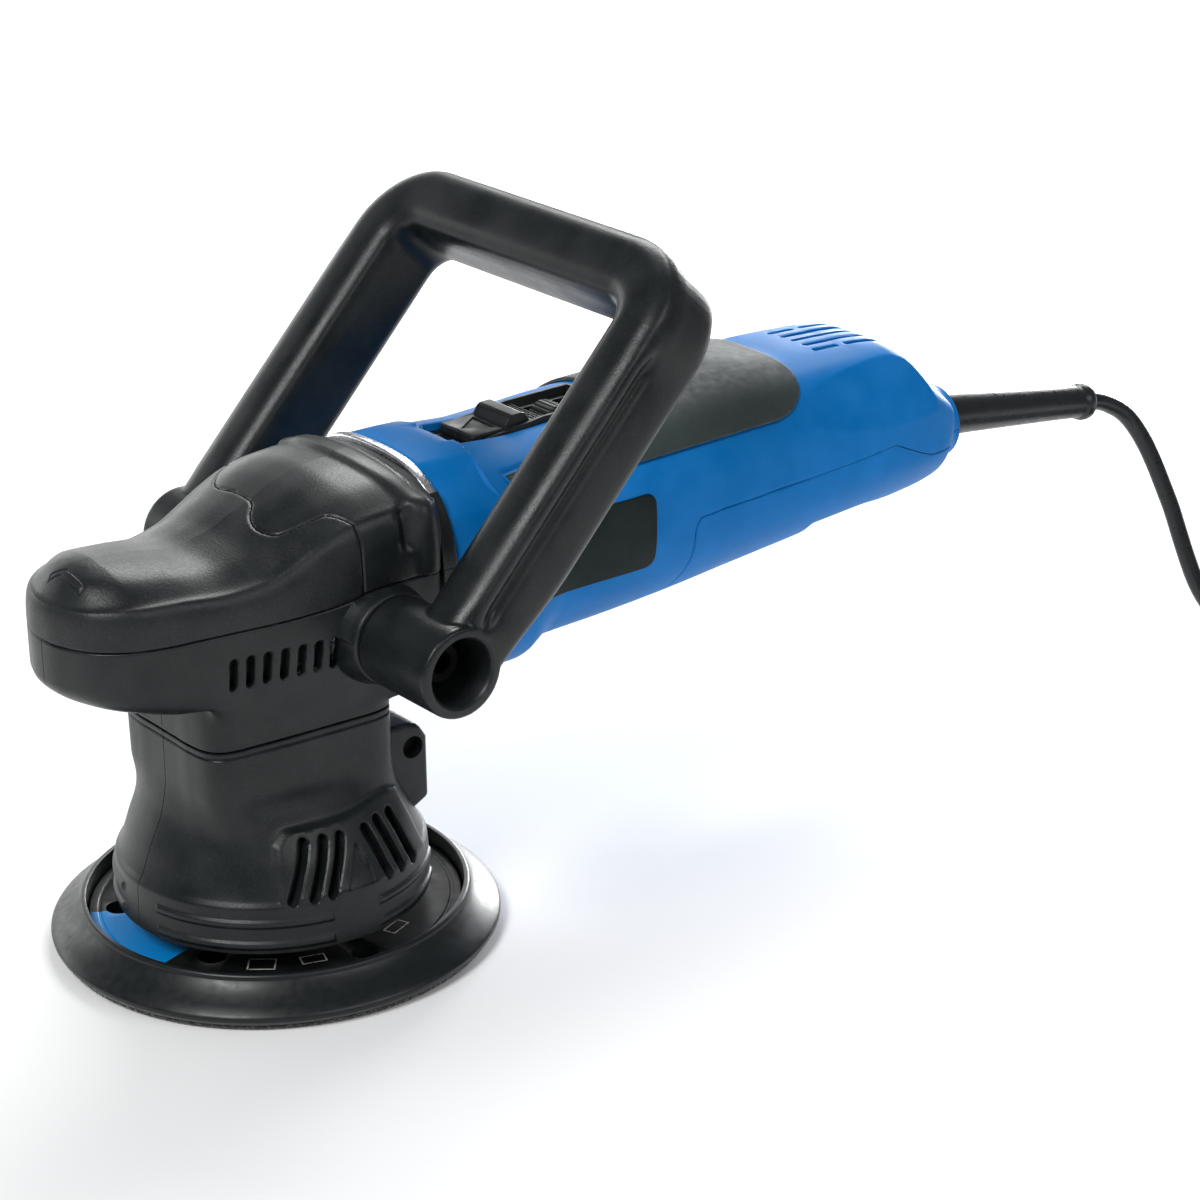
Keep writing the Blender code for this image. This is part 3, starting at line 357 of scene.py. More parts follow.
# --- materials
class Nodes:
    """Short calls that add and link a material's nodes."""

    def __init__(self, name, colour, roughness, metallic=0.0):
        self.material = bpy.data.materials.new(name)
        self.material.use_nodes = True
        self.tree = self.material.node_tree
        self.shader = self.tree.nodes["Principled BSDF"]
        self.set("Base Color", (*colour, 1.0))
        self.set("Roughness", roughness)
        self.set("Metallic", metallic)
        self.place = self.add("ShaderNodeTexCoord").outputs["Object"]

    def add(self, kind, **values):
        node = self.tree.nodes.new(kind)
        for key, value in values.items():
            setattr(node, key, value)
        return node

    def link(self, source, target):
        self.tree.links.new(source, target)

    def set(self, name, value):
        self.shader.inputs[name].default_value = value

    def feed(self, name, source):
        self.link(source, self.shader.inputs[name])

    def noise(self, size, detail=3.0, stretch=(1, 1, 1)):
        """Noise whose blotches are about size millimetres across."""
        mapping = self.add("ShaderNodeMapping")
        mapping.inputs["Scale"].default_value = stretch
        self.link(self.place, mapping.inputs["Vector"])
        node = self.add("ShaderNodeTexNoise")
        node.inputs["Scale"].default_value = 1 / (size * MM)
        node.inputs["Detail"].default_value = detail
        self.link(mapping.outputs["Vector"], node.inputs["Vector"])
        return node.outputs["Fac"]

    def span(self, source, low, high, new_low=0.0, new_high=1.0):
        node = self.add("ShaderNodeMapRange")
        for key, value in (("From Min", low), ("From Max", high), ("To Min", new_low), ("To Max", new_high)):
            node.inputs[key].default_value = value
        self.link(source, node.inputs["Value"])
        return node.outputs["Result"]

    def math(self, operation, a, b=0.0):
        node = self.add("ShaderNodeMath", operation=operation)
        for socket, value in zip(node.inputs, (a, b)):
            if isinstance(value, (int, float)):
                socket.default_value = value
            else:
                self.link(value, socket)
        return node.outputs[0]

    def mix(self, share, first, second):
        """Blend of two colours, each a tuple or a socket."""
        node = self.add("ShaderNodeMix", data_type="RGBA")
        self.link(share, node.inputs["Factor"])
        for socket, value in ((node.inputs[6], first), (node.inputs[7], second)):
            if isinstance(value, tuple):
                socket.default_value = (*value, 1.0)
            else:
                self.link(value, socket)
        return node.outputs[2]

    def bump(self, height, depth):
        """Bump of a height field that is depth millimetres from 0 to 1."""
        node = self.add("ShaderNodeBump")
        node.inputs["Distance"].default_value = depth * MM
        self.link(height, node.inputs["Height"])
        self.link(node.outputs["Normal"], self.shader.inputs["Normal"])

    def edges(self):
        """1 on outer edges, where handling polishes a piece."""
        return self.span(self.add("ShaderNodeNewGeometry").outputs["Pointiness"], 0.53, 0.62)

    def stripes(self, axis, scale, distortion):
        """Waves across an axis of the piece."""
        node = self.add("ShaderNodeTexWave", bands_direction=axis)
        node.inputs["Scale"].default_value = scale
        node.inputs["Distortion"].default_value = distortion
        self.link(self.place, node.inputs["Vector"])
        return node.outputs["Fac"]


def lighter(colour, share, grey=0.5):
    """Colour moved towards a grey."""
    return tuple(c + (grey - c) * share for c in colour)


def darker(colour, share):
    return tuple(c * share for c in colour)


def plastic(name, colour, roughness, grain=0.5, depth=0.03, glint_specks=0.0, wear=0.06, gloss=0.4):
    """Moulded plastic with spark-eroded grain, slow colour drift, edges rubbed a little bright, and lighter specks
    painted in as glints of the grain.
    """
    n = Nodes(name, colour, roughness)
    drift = n.noise(18.0, 4.0)
    base = n.mix(n.span(drift, 0.35, 0.65), darker(colour, 0.88), lighter(colour, 0.015))
    worn = n.math("MULTIPLY", n.edges(), n.span(n.noise(4.0), 0.4, 0.7))
    base = n.mix(n.math("MULTIPLY", worn, wear), base, lighter(colour, 0.6))
    fine = n.noise(grain, 2.0)
    # Lighter specks painted into the colour as glints of light off the grain.
    if glint_specks:
        base = n.mix(n.span(n.noise(0.9, 1.0), 0.55, 0.75, 0.0, glint_specks), base, lighter(colour, 0.35))
    n.feed("Base Color", base)
    rough = n.math("ADD", n.span(drift, 0.3, 0.7, roughness - 0.05, roughness + 0.05),
                   n.math("MULTIPLY", worn, -0.12))
    n.feed("Roughness", n.math("ADD", rough, n.span(fine, 0.3, 0.7, -0.04, 0.04)))
    n.bump(fine, depth)
    n.set("Specular IOR Level", gloss)
    return n.material


def rubber(name, colour, roughness, grain=0.35, depth=0.03, dust=0.25):
    """Moulded rubber: matte, with dust in its grain and a faint sheen."""
    n = Nodes(name, colour, roughness)
    share = n.span(n.noise(9.0, 5.0), 0.45, 0.75, 0.0, dust)
    n.feed("Base Color", n.mix(share, colour, lighter(colour, 0.05)))
    n.feed("Roughness", n.span(n.noise(3.0), 0.3, 0.7, roughness - 0.07, roughness + 0.07))
    n.set("Specular IOR Level", 0.35)
    n.bump(n.noise(grain, 2.0), depth)
    return n.material


def metal(name, colour, roughness, cast=0.0, brushed=(1, 1, 1), wear=0.3):
    """Metal with brushing along one axis, or a cast skin, and oxide drift."""
    n = Nodes(name, colour, roughness, 1.0)
    drift = n.span(n.noise(6.0, 4.0), 0.3, 0.7)
    base = n.mix(drift, darker(colour, 0.82), colour)
    n.feed("Base Color", n.mix(n.math("MULTIPLY", n.edges(), wear), base, lighter(colour, 0.5, 0.9)))
    lines = n.noise(0.6 if not cast else 1.0, 3.0, brushed)
    n.feed("Roughness", n.span(lines, 0.3, 0.7, roughness - 0.08, roughness + 0.1))
    n.bump(lines, cast or 0.01)
    return n.material


def laminated(name, colour):
    """Stacked steel sheets, seen as fine lines across the motor's axis."""
    n = Nodes(name, colour, 0.45, 1.0)
    sheets = n.stripes("X", 320.0, 0.3)
    n.feed("Base Color", n.mix(sheets, darker(colour, 0.6), colour))
    n.bump(sheets, 0.05)
    return n.material


def winding(name, colour):
    """Enamelled copper wire, in lines along the motor's axis."""
    n = Nodes(name, colour, 0.3, 1.0)
    wires = n.stripes("Z", 260.0, 1.2)
    n.feed("Base Color", n.mix(wires, darker(colour, 0.5), colour))
    n.set("Coat Weight", 0.4)
    n.bump(wires, 0.08)
    return n.material


def hook_fabric(name, colour):
    """Field of small hooks in rows, with painted shade darkening the low ground between them, and fuzzy sheen."""
    n = Nodes(name, colour, 0.95)
    dots = n.add("ShaderNodeTexVoronoi")
    dots.inputs["Scale"].default_value = 1 / (1.1 * MM)
    n.link(n.place, dots.inputs["Vector"])
    height = n.span(dots.outputs["Distance"], 0.0, 0.6, 1.0, 0.0)
    # Colour follows the hooks' height: painted shade makes the ground between the hooks darker.
    n.feed("Base Color", n.mix(height, darker(colour, 0.4), lighter(colour, 0.08)))
    n.set("Sheen Weight", 0.5)
    n.bump(height, 0.4)
    return n.material


def strap_fabric(name, colour):
    """Woven hook-and-loop strap."""
    n = Nodes(name, colour, 0.9)
    weave = n.math("MULTIPLY", n.noise(0.5, 1.0, (1, 1, 6)), n.noise(0.5, 1.0, (6, 6, 1)))
    n.feed("Base Color", n.mix(n.span(weave, 0.15, 0.4), darker(colour, 0.5), lighter(colour, 0.06)))
    n.set("Sheen Weight", 0.4)
    n.bump(weave, 0.25)
    return n.material


# The pad's disc: its centre, the blue patch's spans, and the printed boxes, each by the angle and
# radius of its centre and its half sizes along and across the ring.
PAD_CENTRE = Vector((2.5, 3.1, 0.0))
PATCH_ANGLES = (152.0, 197.0)
PATCH_RADII = (44.0, 62.0)
MARKS = ((231.0, 48.0, 4.6, 3.6), (251.0, 47.5, 4.2, 2.6), (292.0, 47.5, 4.4, 2.4))


def printed_disc(name, colour, blue, white):
    """Satin black disc with a painted blue arc and thin outlined boxes."""
    n = Nodes(name, colour, 0.4)
    n.set("Specular IOR Level", 0.12)
    apart = n.add("ShaderNodeSeparateXYZ")
    n.link(n.place, apart.inputs[0])
    x = n.math("SUBTRACT", n.math("DIVIDE", apart.outputs[0], MM), PAD_CENTRE.x)
    y = n.math("SUBTRACT", n.math("DIVIDE", apart.outputs[1], MM), PAD_CENTRE.y)

    def within(value, low, high):
        return n.math("MULTIPLY", n.math("GREATER_THAN", value, low), n.math("LESS_THAN", value, high))

    def box_around(angle, radius, half_long, half_wide):
        c, s = math.cos(math.radians(angle)), math.sin(math.radians(angle))
        out = n.math("SUBTRACT", n.math("ADD", n.math("MULTIPLY", x, c), n.math("MULTIPLY", y, s)), radius)
        along = n.math("SUBTRACT", n.math("MULTIPLY", y, c), n.math("MULTIPLY", x, s))
        far = n.math("MAXIMUM", n.math("SUBTRACT", n.math("ABSOLUTE", along), half_long),
                     n.math("SUBTRACT", n.math("ABSOLUTE", out), half_wide))
        return within(far, -0.5, 0.0)

    radius = n.math("SQRT", n.math("ADD", n.math("POWER", x, 2.0), n.math("POWER", y, 2.0)))
    angle = n.math("MODULO", n.math("ADD", n.math("ARCTAN2", y, x), 2 * math.pi), 2 * math.pi)
    patch = n.math("MULTIPLY", within(angle, *(math.radians(a) for a in PATCH_ANGLES)),
                   within(radius, *PATCH_RADII))
    drift = n.span(n.noise(12.0, 4.0), 0.35, 0.65)
    base = n.mix(drift, darker(colour, 0.8), lighter(colour, 0.01))
    base = n.mix(patch, base, blue)
    lines = box_around(*MARKS[0])
    for mark in MARKS[1:]:
        lines = n.math("MAXIMUM", lines, box_around(*mark))
    scuff = n.span(n.noise(0.8, 2.0), 0.3, 0.45)
    base = n.mix(n.math("MULTIPLY", lines, scuff), base, white)
    n.feed("Base Color", base)
    n.feed("Roughness", n.span(n.noise(5.0), 0.3, 0.7, 0.34, 0.48))
    n.bump(n.noise(0.4, 2.0), 0.015)
    return n.material


BLACK = (0.005, 0.0078, 0.0082)
BLUE = (0.0, 0.165, 0.5)


def make_materials():
    dark = darker(BLACK, 0.8)
    return {
        "blue_housing": plastic("blue_shell", BLUE, 0.45, grain=0.45, depth=0.012, wear=0.05, gloss=0.08),
        "black_housing": plastic("black_shell", BLACK, 0.38, grain=0.7, depth=0.045, glint_specks=0.02, gloss=0.32),
        "soft_cover": plastic("palm_skin", BLACK, 0.42, grain=0.8, depth=0.08, glint_specks=0.04, gloss=0.34),
        "handle_plastic": plastic("handle_shell", BLACK, 0.36, grain=0.7, depth=0.05, glint_specks=0.03, gloss=0.32),
        "rubber_grip": rubber("grip_rubber", (0.026, 0.038, 0.038), 0.62),
        "label": plastic("label_film", (0.004, 0.0105, 0.011), 0.45, grain=1.5, depth=0.004, wear=0.02, gloss=0.1),
        "switch_plastic": plastic("switch_black", dark, 0.45, grain=0.4, depth=0.02),
        "inner_plastic": plastic("inner_black", (0.03, 0.03, 0.03), 0.5, grain=0.5, depth=0.02),
        "cast_aluminium": metal("cast_alloy", (0.83, 0.84, 0.86), 0.3, cast=0.03),
        "steel": metal("turned_steel", (0.5, 0.5, 0.51), 0.3, brushed=(1, 1, 8)),
        # Near-black steel for bolts, washers and screws: painted shade of their dark recesses.
        "recess_shade_steel": metal("recess_shade_black_steel", (0.004, 0.004, 0.0045), 0.6, brushed=(1, 1, 4), wear=0.02),
        # Near-black sheet colour: painted shade seen through the cooling slots.
        "painted_slot_shade": plastic("slot_shade_black", (0.003, 0.003, 0.003), 0.7, grain=0.5, depth=0.02, wear=0.0),
        "laminated_steel": laminated("sheet_stack", (0.3, 0.3, 0.32)),
        "copper": winding("enamelled_copper", (0.72, 0.33, 0.16)),
        "brass": metal("plain_brass", (0.78, 0.6, 0.28), 0.25, brushed=(1, 1, 6)),
        "carbon": plastic("pressed_carbon", (0.04, 0.04, 0.04), 0.7, grain=0.3, depth=0.04),
        "circuit": plastic("potted_board", (0.02, 0.12, 0.05), 0.45, grain=2.0, depth=0.1),
        "pad_foam": rubber("pad_polyurethane", (0.006, 0.0085, 0.0088), 0.36, grain=0.7, depth=0.006, dust=0.06),
        "pad_disc": printed_disc("pad_disc_print", (0.003, 0.004, 0.0042), (0.0, 0.2, 0.55), (0.5, 0.5, 0.46)),
        "hook_fabric": hook_fabric("hook_field", (0.05, 0.05, 0.055)),
        "cord_rubber": rubber("cord_sheath", (0.012, 0.014, 0.015), 0.32, grain=0.6, depth=0.015, dust=0.1),
        "tie_strap": strap_fabric("tie_weave", (0.02, 0.02, 0.02)),
        "plug_plastic": plastic("plug_shell", (0.015, 0.015, 0.016), 0.3, grain=0.7, depth=0.01),
    }


MATERIALS = make_materials()


def piece(obj, slot, *nodes, body="root", angle=40, material=None):
    """Shade a piece, give it its slot's material and put it in the place of its CAD nodes."""
    obj.data.materials.clear()
    obj.data.materials.append(MATERIALS[material or slot])
    if obj.type == "MESH":
        obj.data.shade_smooth()
        obj.data.set_sharp_from_angle(angle=math.radians(angle))
    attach(obj, body)
    if nodes:
        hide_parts(*nodes)
    return obj


def dress_frame_nodes():
    """Give every CAD node that stays its material, by the record's slots; the handle's bolts and washers and the
    hood's screws get near-black steel instead, as painted shade of the recesses they sit in.
    """
    for entry in frame["record"]["subparts"]:
        node = frame["nodes"][entry["node"]]
        slot = entry["material_slot"]
        # Bolts, washers and screws are darkened as painted shade of their recesses.
        dark = entry["node"].startswith(("handle_bolt", "handle_washer", "hood_screw"))
        node.data.materials.clear()
        node.data.materials.append(MATERIALS["recess_shade_steel" if dark else slot])


# --- camera, lights and floor
def camera():
    data = bpy.data.cameras.new("camera")
    data.lens = 99.0
    data.sensor_width = 36.0
    data.clip_start = 0.05
    data.clip_end = 50.0
    obj = in_scene("camera", data)
    right, up, back = (0.7811, -0.6243, -0.0119), (0.2478, 0.2924, 0.9236), (-0.5731, -0.7244, 0.3832)
    turn = Matrix((right, up, back)).transposed().to_4x4()
    obj.matrix_world = Matrix.Translation((-0.5214, -0.8357, 0.5229)) @ turn
    bpy.context.scene.camera = obj


def softbox(name, place, aim, size, power):
    data = bpy.data.lights.new(name, "AREA")
    data.shape = "RECTANGLE"
    data.size, data.size_y = size
    data.energy = power
    obj = in_scene(name, data)
    obj.location = place
    obj.rotation_euler = (Vector(aim) - Vector(place)).to_track_quat("-Z", "Y").to_euler()


def studio():
    world = bpy.data.worlds.new("studio")
    bpy.context.scene.world = world
    world.use_nodes = True
    world.node_tree.nodes["Background"].inputs["Color"].default_value = (0.93, 0.96, 1.0, 1.0)
    world.node_tree.nodes["Background"].inputs["Strength"].default_value = 0.17
    softbox("fill", (0.3, -1.5, 1.1), (0.1, 0, 0.05), (1.4, 0.5), 8.0)
    softbox("key", (-1.1, -0.45, 1.35), (0.05, 0, 0.1), (0.6, 0.6), 21.0)
    softbox("rear", (1.1, 0.85, 1.25), (0.15, 0, 0.1), (1.1, 0.6), 24.0)
    softbox("low", (1.3, 0.75, 0.2), (0.05, 0, 0.05), (0.6, 0.35), 20.0)
    softbox("back", (0.1, 1.6, 0.4), (0.1, 0, 0.12), (2.4, 0.6), 12.0)
    bpy.context.scene.view_settings.view_transform = "Standard"
    bpy.ops.mesh.primitive_plane_add(size=9.0, location=(0.15, 0, -0.0004))
    floor = bpy.context.object
    floor.name = "studio_floor"
    n = Nodes("studio_paper", (0.93, 0.93, 0.93), 0.9)
    n.bump(n.noise(30.0), 0.02)
    floor.data.materials.append(n.material)


# --- cord
RELIEF_START = Vector((297.0, 0, 113.29))
RELIEF_END = Vector((381.8, 0, 99.8))
ROUTE = [(382.2, 0, 99.7), (389, -0.3, 98.2), (395, -1, 95.5), (401, -2.3, 91.5), (405.5, -4.3, 86),
         (409, -7.5, 78.5), (411.5, -11, 70), (413.5, -14.5, 61), (415.2, -18.4, 51.5),
         (416.3, -22, 42), (417.2, -26, 32.5), (418.5, -30, 23.5), (421.5, -33.6, 15.5),
         (427, -36, 9.3), (434, -37.2, 5.6), (440.7, -36.36, 4.6)]
COIL_CENTRE = (441.0, -96.0)
# Turns of the coil so far, with the radius and the height of the cord's centre there.
COIL_RADIUS = [(0, 59.64), (0.3, 52.5), (3.3, 31.5), (3.65, 31.5), (6.65, 52.5), (7.0, 52.5), (10.0, 31.5),
               (10.5, 31.5)]
COIL_HEIGHT = [(0, 4.6), (3.3, 4.6), (3.55, 12.1), (6.65, 12.1), (6.9, 19.6), (10.083, 19.6), (10.5, 32.9)]
CORD_DIAMETER = 6.9


def cord():
    """The lead, from inside the strain relief to the face of the plug on its coil."""
    relief = (RELIEF_END - RELIEF_START).normalized()
    free = spline([tuple(RELIEF_END - relief * 7)] + ROUTE, 4)
    turns = np.linspace(0, 10.5, 337)[1:]
    angle = math.pi / 2 - 2 * math.pi * turns
    radius = np.interp(turns, *np.array(COIL_RADIUS).T)
    coil = np.stack([COIL_CENTRE[0] + radius * np.cos(angle), COIL_CENTRE[1] + radius * np.sin(angle),
                     smooth(COIL_HEIGHT, turns)], -1)
    points = np.concatenate([free, coil]) * MM
    curve = bpy.data.curves.new("mains_lead", "CURVE")
    curve.dimensions = "3D"
    curve.bevel_depth = CORD_DIAMETER / 2 * MM
    curve.bevel_resolution = 5
    curve.use_fill_caps = True
    line = curve.splines.new("POLY")
    line.points.add(len(points) - 1)
    line.points.foreach_set("co", np.c_[points, np.ones(len(points))].ravel())
    obj = in_scene("mains_lead", curve)
    obj.data.splines[0].use_smooth = True
    length = float(np.linalg.norm(np.diff(points, axis=0), axis=1).sum())
    return piece(obj, "cord_rubber", "mains_cord", "cord_coil"), length


def strain_relief():
    """Tapered sleeve with a ring round its open end."""
    length = (RELIEF_END - RELIEF_START).length
    profile = [(3.5, length - 9), (3.6, length - 0.6), (4.3, length), (6.1, length), (6.9, length - 0.6),
               (7.2, length - 1.6), (7.2, length - 3.4), (6.9, length - 4.2), (6.3, length - 4.9),
               (6.1, length - 6.0), (6.5, length - 24), (7.2, length - 50), (7.85, 14.0), (7.9, 10.0), (7.9, 0.2),
               (3.5, 0.2)]
    sleeve = lathe("relief_sleeve", profile, RELIEF_START, RELIEF_END, 96)
    piece(sleeve, "cord_rubber", "strain_relief", angle=50)


def tie():
    """Strap round the coil's section."""
    low, high = 1.1, 23.6
    width, height, centre = 14.0, (high - low) / 2, (low + high) / 2
    turn = math.radians(160.0)
    outer = prisms("tie_outer", [[(x, z + centre) for x, z in rounded_box(width + 1.3, height + 1.0, 3.0)]],
                   "y", -4.9, 4.9)
    hole = prisms("tie_hole", [[(x, z + centre) for x, z in rounded_box(width + 0.5, height + 0.25, 2.6)]],
                  "y", -8.0, 8.0)
    strap = rounded(cut(outer, "DIFFERENCE", hole), 0.25, 2)
    strap.name = "tie_strap"
    strap.data.transform(Matrix.Translation(Vector((COIL_CENTRE[0] + 42.0 * math.cos(turn),
                                                    COIL_CENTRE[1] + 42.0 * math.sin(turn), 0)) * MM)
                         @ Matrix.Rotation(turn, 4, "Z"))
    return piece(strap, "tie_strap", "coil_tie")


def plug():
    """Three-pin plug that lies on the coil, pins up, with grooves in its sides."""
    cx, cy, base = 417.5, -127.5, 23.9
    rings = []
    for z, scale in ((0.05, 0.86), (0.5, 0.9), (1.4, 0.94), (3.0, 0.97), (6.0, 0.99), (9.0, 0.995),
                     (12.0, 0.99), (15.0, 0.98), (16.8, 0.965), (17.6, 0.945), (17.95, 0.92)):
        rings.append([(cx + x * scale, cy + y * scale, base + z) for x, y in rounded_box(23.0, 24.5, 7.0, 8)])
    shell = solid("plug_shell", rings)
    grips = [box(f"plug_grip_{i}_{side}", (cx - 9 + 5 * i, cy + side * 24.5 - 1.2, base + 3),
                 (cx - 6.6 + 5 * i, cy + side * 24.5 + 1.2, base + 15), 0.5) for i in range(4) for side in (-1, 1)]
    cut(shell, "DIFFERENCE", *grips, rod("plug_fuse_line", 3.6, (cx + 18, cy, base + 9), (cx + 30, cy, base + 9)),
        prisms("plug_fuse", [[(x + cx + 1, y + cy) for x, y in rounded_box(3.2, 7.0, 1.5)]], "z",
               base + 17.4, base + 30))
    pieces = [piece(shell, "plug_plastic", "plug_body")]
    top = base + 18.3
    for name, low, high, length in (("earth", (-12.0, -4.0), (-8.0, 4.0), 22.7),
                                    ("live", (7.0, -14.2), (11.0, -7.8), 17.7),
                                    ("neutral", (7.0, 7.8), (11.0, 14.2), 17.7)):
        pin = box(f"pin_{name}", (cx + low[0], cy + low[1], top), (cx + high[0], cy + high[1], top + length), 0.7)
        pieces.append(piece(pin, "brass", f"plug_pin_{name}"))
    return pieces


# --- hood and gear head sections
HEAD_REAR_X = 45.0
NECK_Z = 84.0
# Left half of each plan outline, from the rear centre to the front centre. The two match point by
# point, and the third list says between which heights each point moves from the neck to the nose.
NECK_PLAN = [(30, 0), (30, -20), (29, -29.5), (22, -33), (8, -32.5), (-8, -31.5), (-22, -30.3),
             (-32, -28.8), (-37, -24), (-38.5, -15), (-38.5, -7), (-38.5, 0)]
HEAD_PLAN = [(45, 0), (45, -24), (45, -39.5), (34, -40.5), (15, -39.8), (-6, -37.5), (-25, -34),
             (-43, -31.2), (-60, -28.6), (-71.8, -20.4), (-77.4, -9.5), (-78.8, 0)]
PLAN_RISE = [(86, 91)] * 3 + [(84, 124)] * 4 + [(92, 112), (97.5, 111), (99, 111), (99, 111), (99, 111)]
SPINE_FRONT = -60.0

HEAD_TOP = [(-60, 148.8), (-45, 146.9), (-30, 144.6), (-18, 146.6), (-8, 150.8), (0, 154), (10, 158), (20, 160.3),
            (36, 161.0), (45, 159.4)]
HEAD_CREASE = [(-78, 139.5), (-60, 140.3), (-45, 139.6), (-30, 138.6), (-18, 140), (-8, 144), (0, 148),
               (10, 152), (20, 154), (36, 154.8), (45, 153.4)]
HEAD_SEAM = [(-90, 126.5), (-60, 126.2), (-45, 125.6), (-25, 125.6), (0, 126.6), (10, 127.6),
             (17, 129.2), (60, 130.5)]
S_SEAM = [(15, -60), (14.5, -42), (13, -34), (8.5, -28), (1, -25.3), (-6, -22), (-8.5, -15), (-6.5, -8),
          (-2, -2), (-1, 8), (-1, 20), (4, 28), (12, 34), (15, 42), (15, 60)]
HOOD_PROFILE = [(18, 52.0), (33.5, 51.4), (35, 50.4), (45, 47.5), (58, 43.0), (84, 38.5)]
HOOD_SQUARE = [(33.5, 0.0), (45, 0.18), (58, 0.62), (68, 0.96), (84, 1.0)]


def inset_plan(plan, front, rear, inset, open_rear=None):
    """Half plan moved inwards towards the spine, and its flat rear moved out if it is to be open."""
    x, y = np.array(plan, float).T
    foot = np.clip(x, front, rear)
    reach = np.hypot(x - foot, y)
    scale = np.where(reach > inset, (reach - inset) / np.maximum(reach, 1e-6), 1.0)
    x, y = foot + (x - foot) * scale, y * scale
    if open_rear is not None:
        x = np.where(x > HEAD_REAR_X - 1, open_rear, x)
    return np.stack([x, y], -1)


def plan_rings(half, steps, z, limit):
    """Rings at heights z of half plans (rows, points, 2), closed, smoothed and cut flat at a rear limit."""
    other = half[:, -2:0:-1] * (1, -1)
    full = spline(np.concatenate([half, other], 1).swapaxes(0, 1), steps, closed=True).swapaxes(0, 1)
    full[..., 0] = np.minimum(full[..., 0], limit)
    return np.concatenate([full, np.broadcast_to(z[:, None, None], (*full.shape[:2], 1))], -1)


def head_lower(name, inset, steps, rows):
    """Lower form of the gear head: a boxy neck that spreads into the nose."""
    neck = inset_plan(NECK_PLAN, -25, 20, inset)
    head = inset_plan(HEAD_PLAN, SPINE_FRONT, HEAD_REAR_X, inset, 60.0 if inset else None)
    z = np.linspace(NECK_Z - 6 if inset else NECK_Z + GAP / 2, 134, rows)
    low, high = np.array(PLAN_RISE, float).T
    t = np.clip((z[:, None] - inset - low) / (high - low), 0, 1)
    nose = np.clip((z[:, None] - inset - 99.5) / 14.0, 0, 1)
    t = np.where(low > 92, np.sqrt(1 - (1 - nose) ** 2) * step(nose, 0, 0.12), step(t))[..., None]
    return solid(name, plan_rings(neck * (1 - t) + head * t, steps, z, 60.0 if inset else HEAD_REAR_X))


def head_upper(name, inset, steps, rises):
    """Upper form of the head: rings that shrink onto the spine, with a soft crease round the top."""
    head = inset_plan(HEAD_PLAN, SPINE_FRONT, HEAD_REAR_X, inset, 60.0 if inset else None)
    limit = 60.0 if inset else HEAD_REAR_X
    outline = plan_rings(head[None], steps, np.zeros(1), limit)[0]
    x, y = outline[:, 0], outline[:, 1]
    foot = np.clip(x, SPINE_FRONT, limit)
    rows = []
    for share, lift in ((0.97, None), (0.985, 0.0), (1.0, 0.3), (0.985, 0.7), (0.93, 0.92), (0.83, 1.0),
                        (0.6, 1.6), (0.3, 1.9), (0.0, 2.0)):
        px, py = foot + (x - foot) * share, y * share
        top, crease = smooth(HEAD_TOP, px) - inset, smooth(HEAD_CREASE, px) - inset
        if lift is None:
            z = np.full(len(px), 112.0)
        elif lift <= 1:
            z = MOTOR_Z + (crease - MOTOR_Z) * lift
        else:
            z = crease + (top - crease) * (lift - 1)
        rows.append(np.stack([px, py, z], -1))
    return solid(name, spline(np.array(rows), rises), cap_end=False)


def hood_form(name, inset, steps, rows):
    """Round foot that rises into the neck's rounded rectangle."""
    neck = inset_plan(NECK_PLAN, -25, 20, inset)
    z = np.linspace(18.0 - (6 if inset else 0), NECK_Z + (6 if inset else -GAP / 2), rows)
    radius, share = (smooth(HOOD_PROFILE, z) - inset)[:, None, None], smooth(HOOD_SQUARE, z)[:, None, None]
    angle = np.linspace(0, math.pi, len(neck))
    circle = np.stack([np.cos(angle), -np.sin(angle)], -1)
    return solid(name, plan_rings(circle * radius * (1 - share) + neck * share, steps, z, 90.0))


def slot_cutters(slots, axis, *spans):
    """Cutters for a group of slots, one for each span along an axis."""
    return [prisms("slots", [slot_outline(*slot) for slot in slots], axis, low, high) for low, high in spans]


def halves(form, left, right):
    """Split a form at the mirror plane into a left and a right piece, each a (name, CAD node) pair."""
    for (name, node), side in ((left, -1), (right, 1)):
        near, far = sorted((side * GAP / 2, side * 80))
        half = cut(copy(form, name), "INTERSECT", box("side", (-120, near, 0), (120, far, 220)))
        piece(half, "black_housing", node)
    bpy.data.objects.remove(form)


